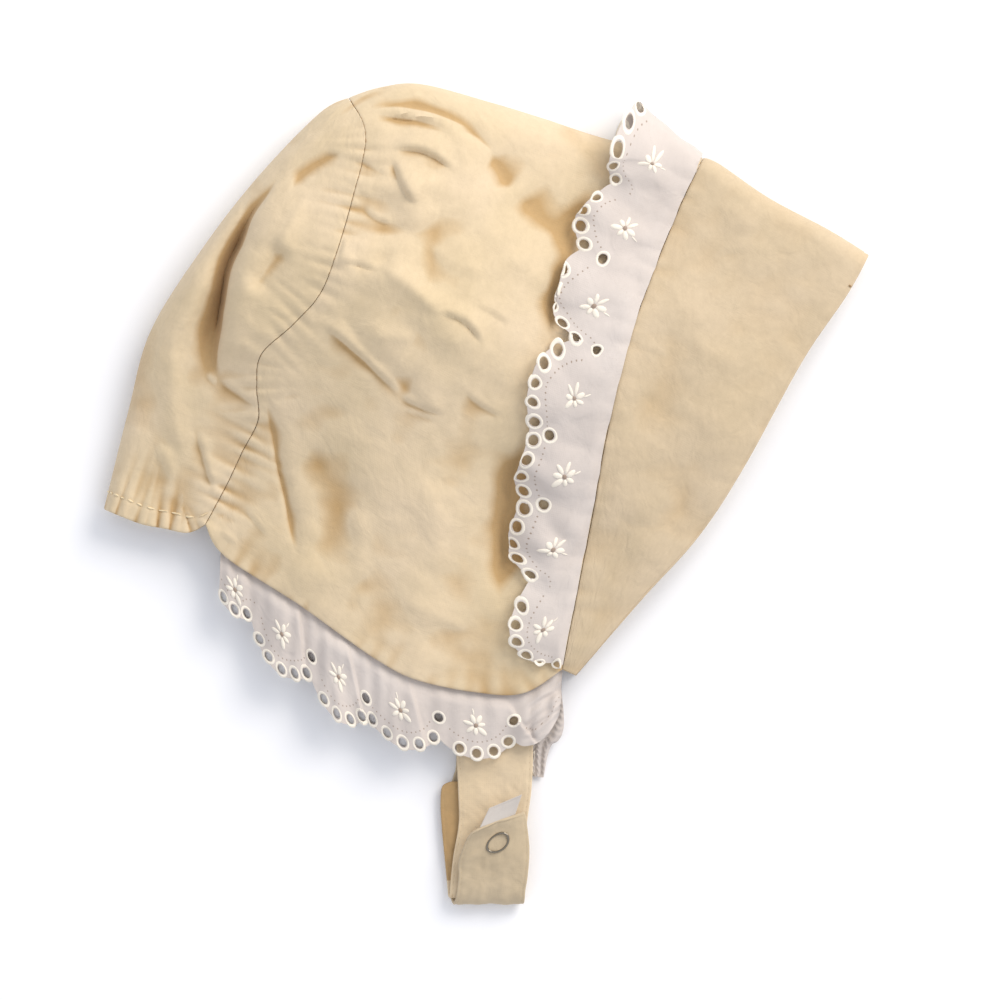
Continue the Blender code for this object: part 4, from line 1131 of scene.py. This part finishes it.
def snapTilt(x, y):  # the cloth leans where the snap holds it, as a height along the way out
    plan = (np.column_stack([x, y]) - snap["spot"]) @ snap["plan"].T
    off = plan @ np.array([-math.sin(snap["turn"]), math.cos(snap["turn"])])
    return snap["tilt"] * off * np.exp(-(np.linalg.norm(plan, axis=1) / snap["reach"]) ** 2)


def makeStrap(name, node, stations):
    values = {"spacing": 0.0006, "cloth": 0.0011, "rim": 0.0008, "inside": 0.0010, "dent": 0.00018,
              "dentWidth": 0.00035, "stitch": 0.0012, "pitch": 0.0019, "thread": 0.00012,
              "sunk": 0.00025, "crinkle": 0.00016, "turnedUnder": 0.70}
    place, length = strapForm(stations)
    half = strap["width"] / 2
    piece = flatSheet(name, rimmed(-half, half, values["spacing"]), rimmed(0, length, values["spacing"]))
    thicken(piece, values["cloth"])

    def away(x, y):
        return np.minimum(half - np.abs(x), length - y)
    roundRim(piece, lambda x, y: np.minimum(away(x, y), y), values["rim"])
    press(piece, lambda x, y: away(x, y) - values["inside"], values["dent"], values["dentWidth"])
    # The near strap gets the lighter copy of the khaki, painted light, and the far strap the darker copy,
    # painted shade
    piece.data.materials.append(litStrapKhaki if node == "strap_near" else shadedStrapKhaki)
    if node == "strap_near":  # its turned-under end gets a darker copy of the khaki: painted shade for the shadow inside the loop
        piece.data.materials.append(khakiShadedInLoop)
        for face in piece.data.polygons:
            face.material_index = int(face.center.y > values["turnedUnder"] * length)
    edge, end = half - values["inside"], length - values["inside"]
    row = []
    for side in (-1, 1):
        row += stitchRow([(-edge, 0), (-edge, end), (edge, end), (edge, 0)], values["stitch"],
                         values["pitch"], values["thread"], topThread,
                         side * (values["cloth"] / 2 - values["sunk"]))
    joinTo(piece, row)
    spots = spotsOf(piece)
    spots[:, 2] += values["crinkle"] * (wavy(spots[:, :2], 0.010, 5) + 0.5 * wavy(spots[:, :2], 0.004, 6))
    if node == "strap_far":
        spots[:, 2] += snapTilt(spots[:, 0], spots[:, 1])
    setSpots(piece, spots)
    drape(piece, place)
    finishPiece(piece, node)


def makeLabel():
    # Corners of the tab as (drop, side, layer) on the straps: lower left and right, upper left and right
    values = {"width": 0.0100, "tall": 0.0072, "cloth": 0.0005, "spacing": 0.0003, "curl": 0.0005,
              "rim": 0.0006, "hem": 0.0010, "dent": 0.00014, "dentWidth": 0.0003,
              "corners": [(0.640, -0.20, 6.2), (0.585, 0.26, 5.1), (0.545, -0.07, 5.6), (0.480, 0.35, 5.0)]}
    half, tall, spacing = values["width"] / 2, values["tall"] / 2, values["spacing"]
    piece = flatSheet("labelTape", rimmed(-half, half, spacing), rimmed(-tall, tall, spacing))
    thicken(piece, values["cloth"])
    roundRim(piece, lambda x, y: np.minimum(half - np.abs(x), tall - np.abs(y)), values["rim"])
    press(piece, lambda x, y: tall - y - values["hem"], values["dent"], values["dentWidth"])
    piece.data.materials.append(tape)
    a, b, c, d = [strapPlace(*corner) for corner in values["corners"]]
    up = np.cross(b - a, c - a)
    up /= np.linalg.norm(up)

    def place(x, y):
        u, v = (x / half / 2 + 0.5)[:, None], (y / tall / 2 + 0.5)[:, None]
        middle = (a + (b - a) * u) * (1 - v) + (c + (d - c) * u) * v
        middle = middle + up * values["curl"] * (2 * v - 1) * (2 * u - 1)
        return middle, np.tile(up, (len(x), 1))
    drape(piece, place)
    finishPiece(piece, "care_label")


def makeSnap():
    deselect()
    bpy.ops.mesh.primitive_torus_add(major_segments=56, minor_segments=12, minor_radius=snap["wire"] / 2,
                                     major_radius=(snap["ring"] - snap["wire"]) / 2)
    ring = bpy.context.object
    ring.name = ring.data.name = "snapRing"
    ring.data.transform(Matrix.Rotation(snap["turn"], 4, "Z")
                        @ Matrix.Diagonal((1.0, snap["oval"], snap["flat"], 1.0)))
    spots = spotsOf(ring)
    spots[:, :2] = snap["spot"] + spots[:, :2] @ np.linalg.inv(snap["plan"]).T
    spots[:, 2] -= snap["sunk"]
    spots[:, 2] += snapTilt(spots[:, 0], spots[:, 1])
    setSpots(ring, spots)
    ring.data.materials.append(nickel)
    drape(ring, strapForm(farStations)[0])
    finishPiece(ring, "snap_cap")


def makeLaceEnd():
    # The far lace's loose end, gathered up beside the chin, as (x, y, height, width) in mm from the chin
    values = {"width": 0.0125, "length": 0.031, "cloth": 0.0004, "spacing": 0.0004, "pleats": 2,
              "pleat": 0.0003, "sway": 0.0006, "row": 0.00012, "rowWave": 0.0019, "least": 0.0006,
              "ringInside": 0.0012, "ringPitch": 0.004, "hole": 0.0020, "ring": 0.0008,
              "way": [(-3.6, -4.5, 5.5, 6.0), (-3.6, -12.5, 5.0, 8.0), (-4.2, -18.5, 4.2, 8.5),
                      (-6.0, -22.2, 3.0, 6.0), (-6.9, -26.5, 2.0, 4.6), (-7.4, -32.3, 1.0, 3.4)]}
    half, length = values["width"] / 2, values["length"]
    piece = flatSheet("laceEnd", even(-half, half, values["spacing"]), even(0, length, values["spacing"]))
    thicken(piece, values["cloth"])
    piece.data.materials.append(voile)
    edge = half - values["ringInside"]
    spots = [(edge, y, 0.0001, 0) for y in even(0.001, length - 0.002, values["ringPitch"])]
    joinTo(piece, scatter(ringTemplate(values["hole"] / 2, values["ring"]), spots, 0.1))
    mapEyelets(piece, np.array([(edge, 0.0), (edge, length)]))
    knots = curveThrough(np.array(values["way"]) / 1000, 10)
    reach = reachOf(knots[:, :3])

    def place(x, y):
        way = y / length * reach[-1]
        spot = along(knots, reach, way)
        step = along(knots, reach, way + form["slopeStep"]) - spot
        run = step[:, :2] / np.maximum(np.linalg.norm(step[:, :2], axis=1), 1e-9)[:, None]
        side = np.column_stack([run[:, 1], -run[:, 0]])
        part = x / values["width"]
        phase = math.tau * values["pleats"] * part + 1.2 * np.sin(y / 0.004)
        bend = 1.6 * wavy(np.column_stack([x, y]), 0.008, 12)
        fold = values["pleat"] * np.sin(phase)
        fold += values["row"] * np.sin(math.tau * y / values["rowWave"] + bend)
        points = chin + spot[:, :2] + side * (part * spot[:, 3])[:, None]
        points = points + run * (values["sway"] * np.cos(phase * 1.3))[:, None]
        rise = np.maximum(spot[:, 2] + fold * np.minimum(spot[:, 2] / 0.002, 1.0), values["least"])
        slope = values["pleat"] * np.cos(phase) * math.tau * values["pleats"] / spot[:, 3]
        facing = np.column_stack([-side * slope[:, None], np.ones(len(x))])
        return np.column_stack([points, rise]), facing / np.linalg.norm(facing, axis=1)[:, None]
    drape(piece, place)
    finishPiece(piece, None)


# Dull nickel-plated steel: bright on its edges, the colour of the cloth round it in its face
nickel = newMaterial("nickelSteel", 0.22, 1.0)[0]
nickel.node_tree.nodes["Principled BSDF"].inputs["Base Color"].default_value = hexColour("#8d8578")
tape = plainCotton("wovenTape", "#c9c2ba", "#c1bab3", "#b9b0a6", 0.5, 0.03)

makeCrown()
makeBrim()
makeBack()
makeBrimLace()
makeNeckLace("neckLaceNear", "neck_lace_near", False)
makeNeckLace("neckLaceFar", "neck_lace_far", True)
makeStrap("nearStrap", "strap_near", nearStations)
makeStrap("farStrap", "strap_far", farStations)
makeLabel()
makeSnap()
makeLaceEnd()

# The hidden half of the snap keeps the frame's shape
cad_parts["snap_stud"].data.materials.clear()
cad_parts["snap_stud"].data.materials.append(nickel)


# Stage
def makeStage():
    values = {"floor": 3.0, "frame": 0.300, "eye": 3.0, "focus": 0.012, "centre": (0.0041, -0.0012),
              "lamp": (0.85, 0.95, 0.88), "lampSize": 0.9, "lampPower": 18.5, "lampColour": "#fff8ef",
              "sky": 0.83, "skyColour": "#f6f8ff"}
    deselect()
    bpy.ops.mesh.primitive_plane_add(size=values["floor"])
    floor = bpy.context.object
    floor.name = "floor"
    paper, tree, shader = newMaterial("paleSweep", 0.9)
    shader.inputs["Base Color"].default_value = hexColour("#fcfdff")
    floor.data.materials.append(paper)

    camera = bpy.data.objects.new("camera", bpy.data.cameras.new("camera"))
    camera.location = (*values["centre"], values["eye"])
    camera.data.sensor_width = 36.0
    camera.data.lens = camera.data.sensor_width * (values["eye"] - values["focus"]) / values["frame"]
    bpy.context.scene.collection.objects.link(camera)
    bpy.context.scene.camera = camera

    lamp = bpy.data.objects.new("key", bpy.data.lights.new("key", "AREA"))
    lamp.data.size = values["lampSize"]
    lamp.data.energy = values["lampPower"]
    lamp.data.color = hexColour(values["lampColour"])[:3]
    lamp.location = values["lamp"]
    lamp.rotation_euler = (-Vector(values["lamp"])).to_track_quat("-Z", "Y").to_euler()
    bpy.context.scene.collection.objects.link(lamp)
    world = bpy.data.worlds.new("studio")
    world.use_nodes = True
    sky = world.node_tree.nodes["Background"]
    sky.inputs["Color"].default_value = hexColour(values["skyColour"])
    sky.inputs["Strength"].default_value = values["sky"]
    bpy.context.scene.world = world
    bpy.context.scene.view_settings.view_transform = "Standard"


makeStage()
print("stage done")
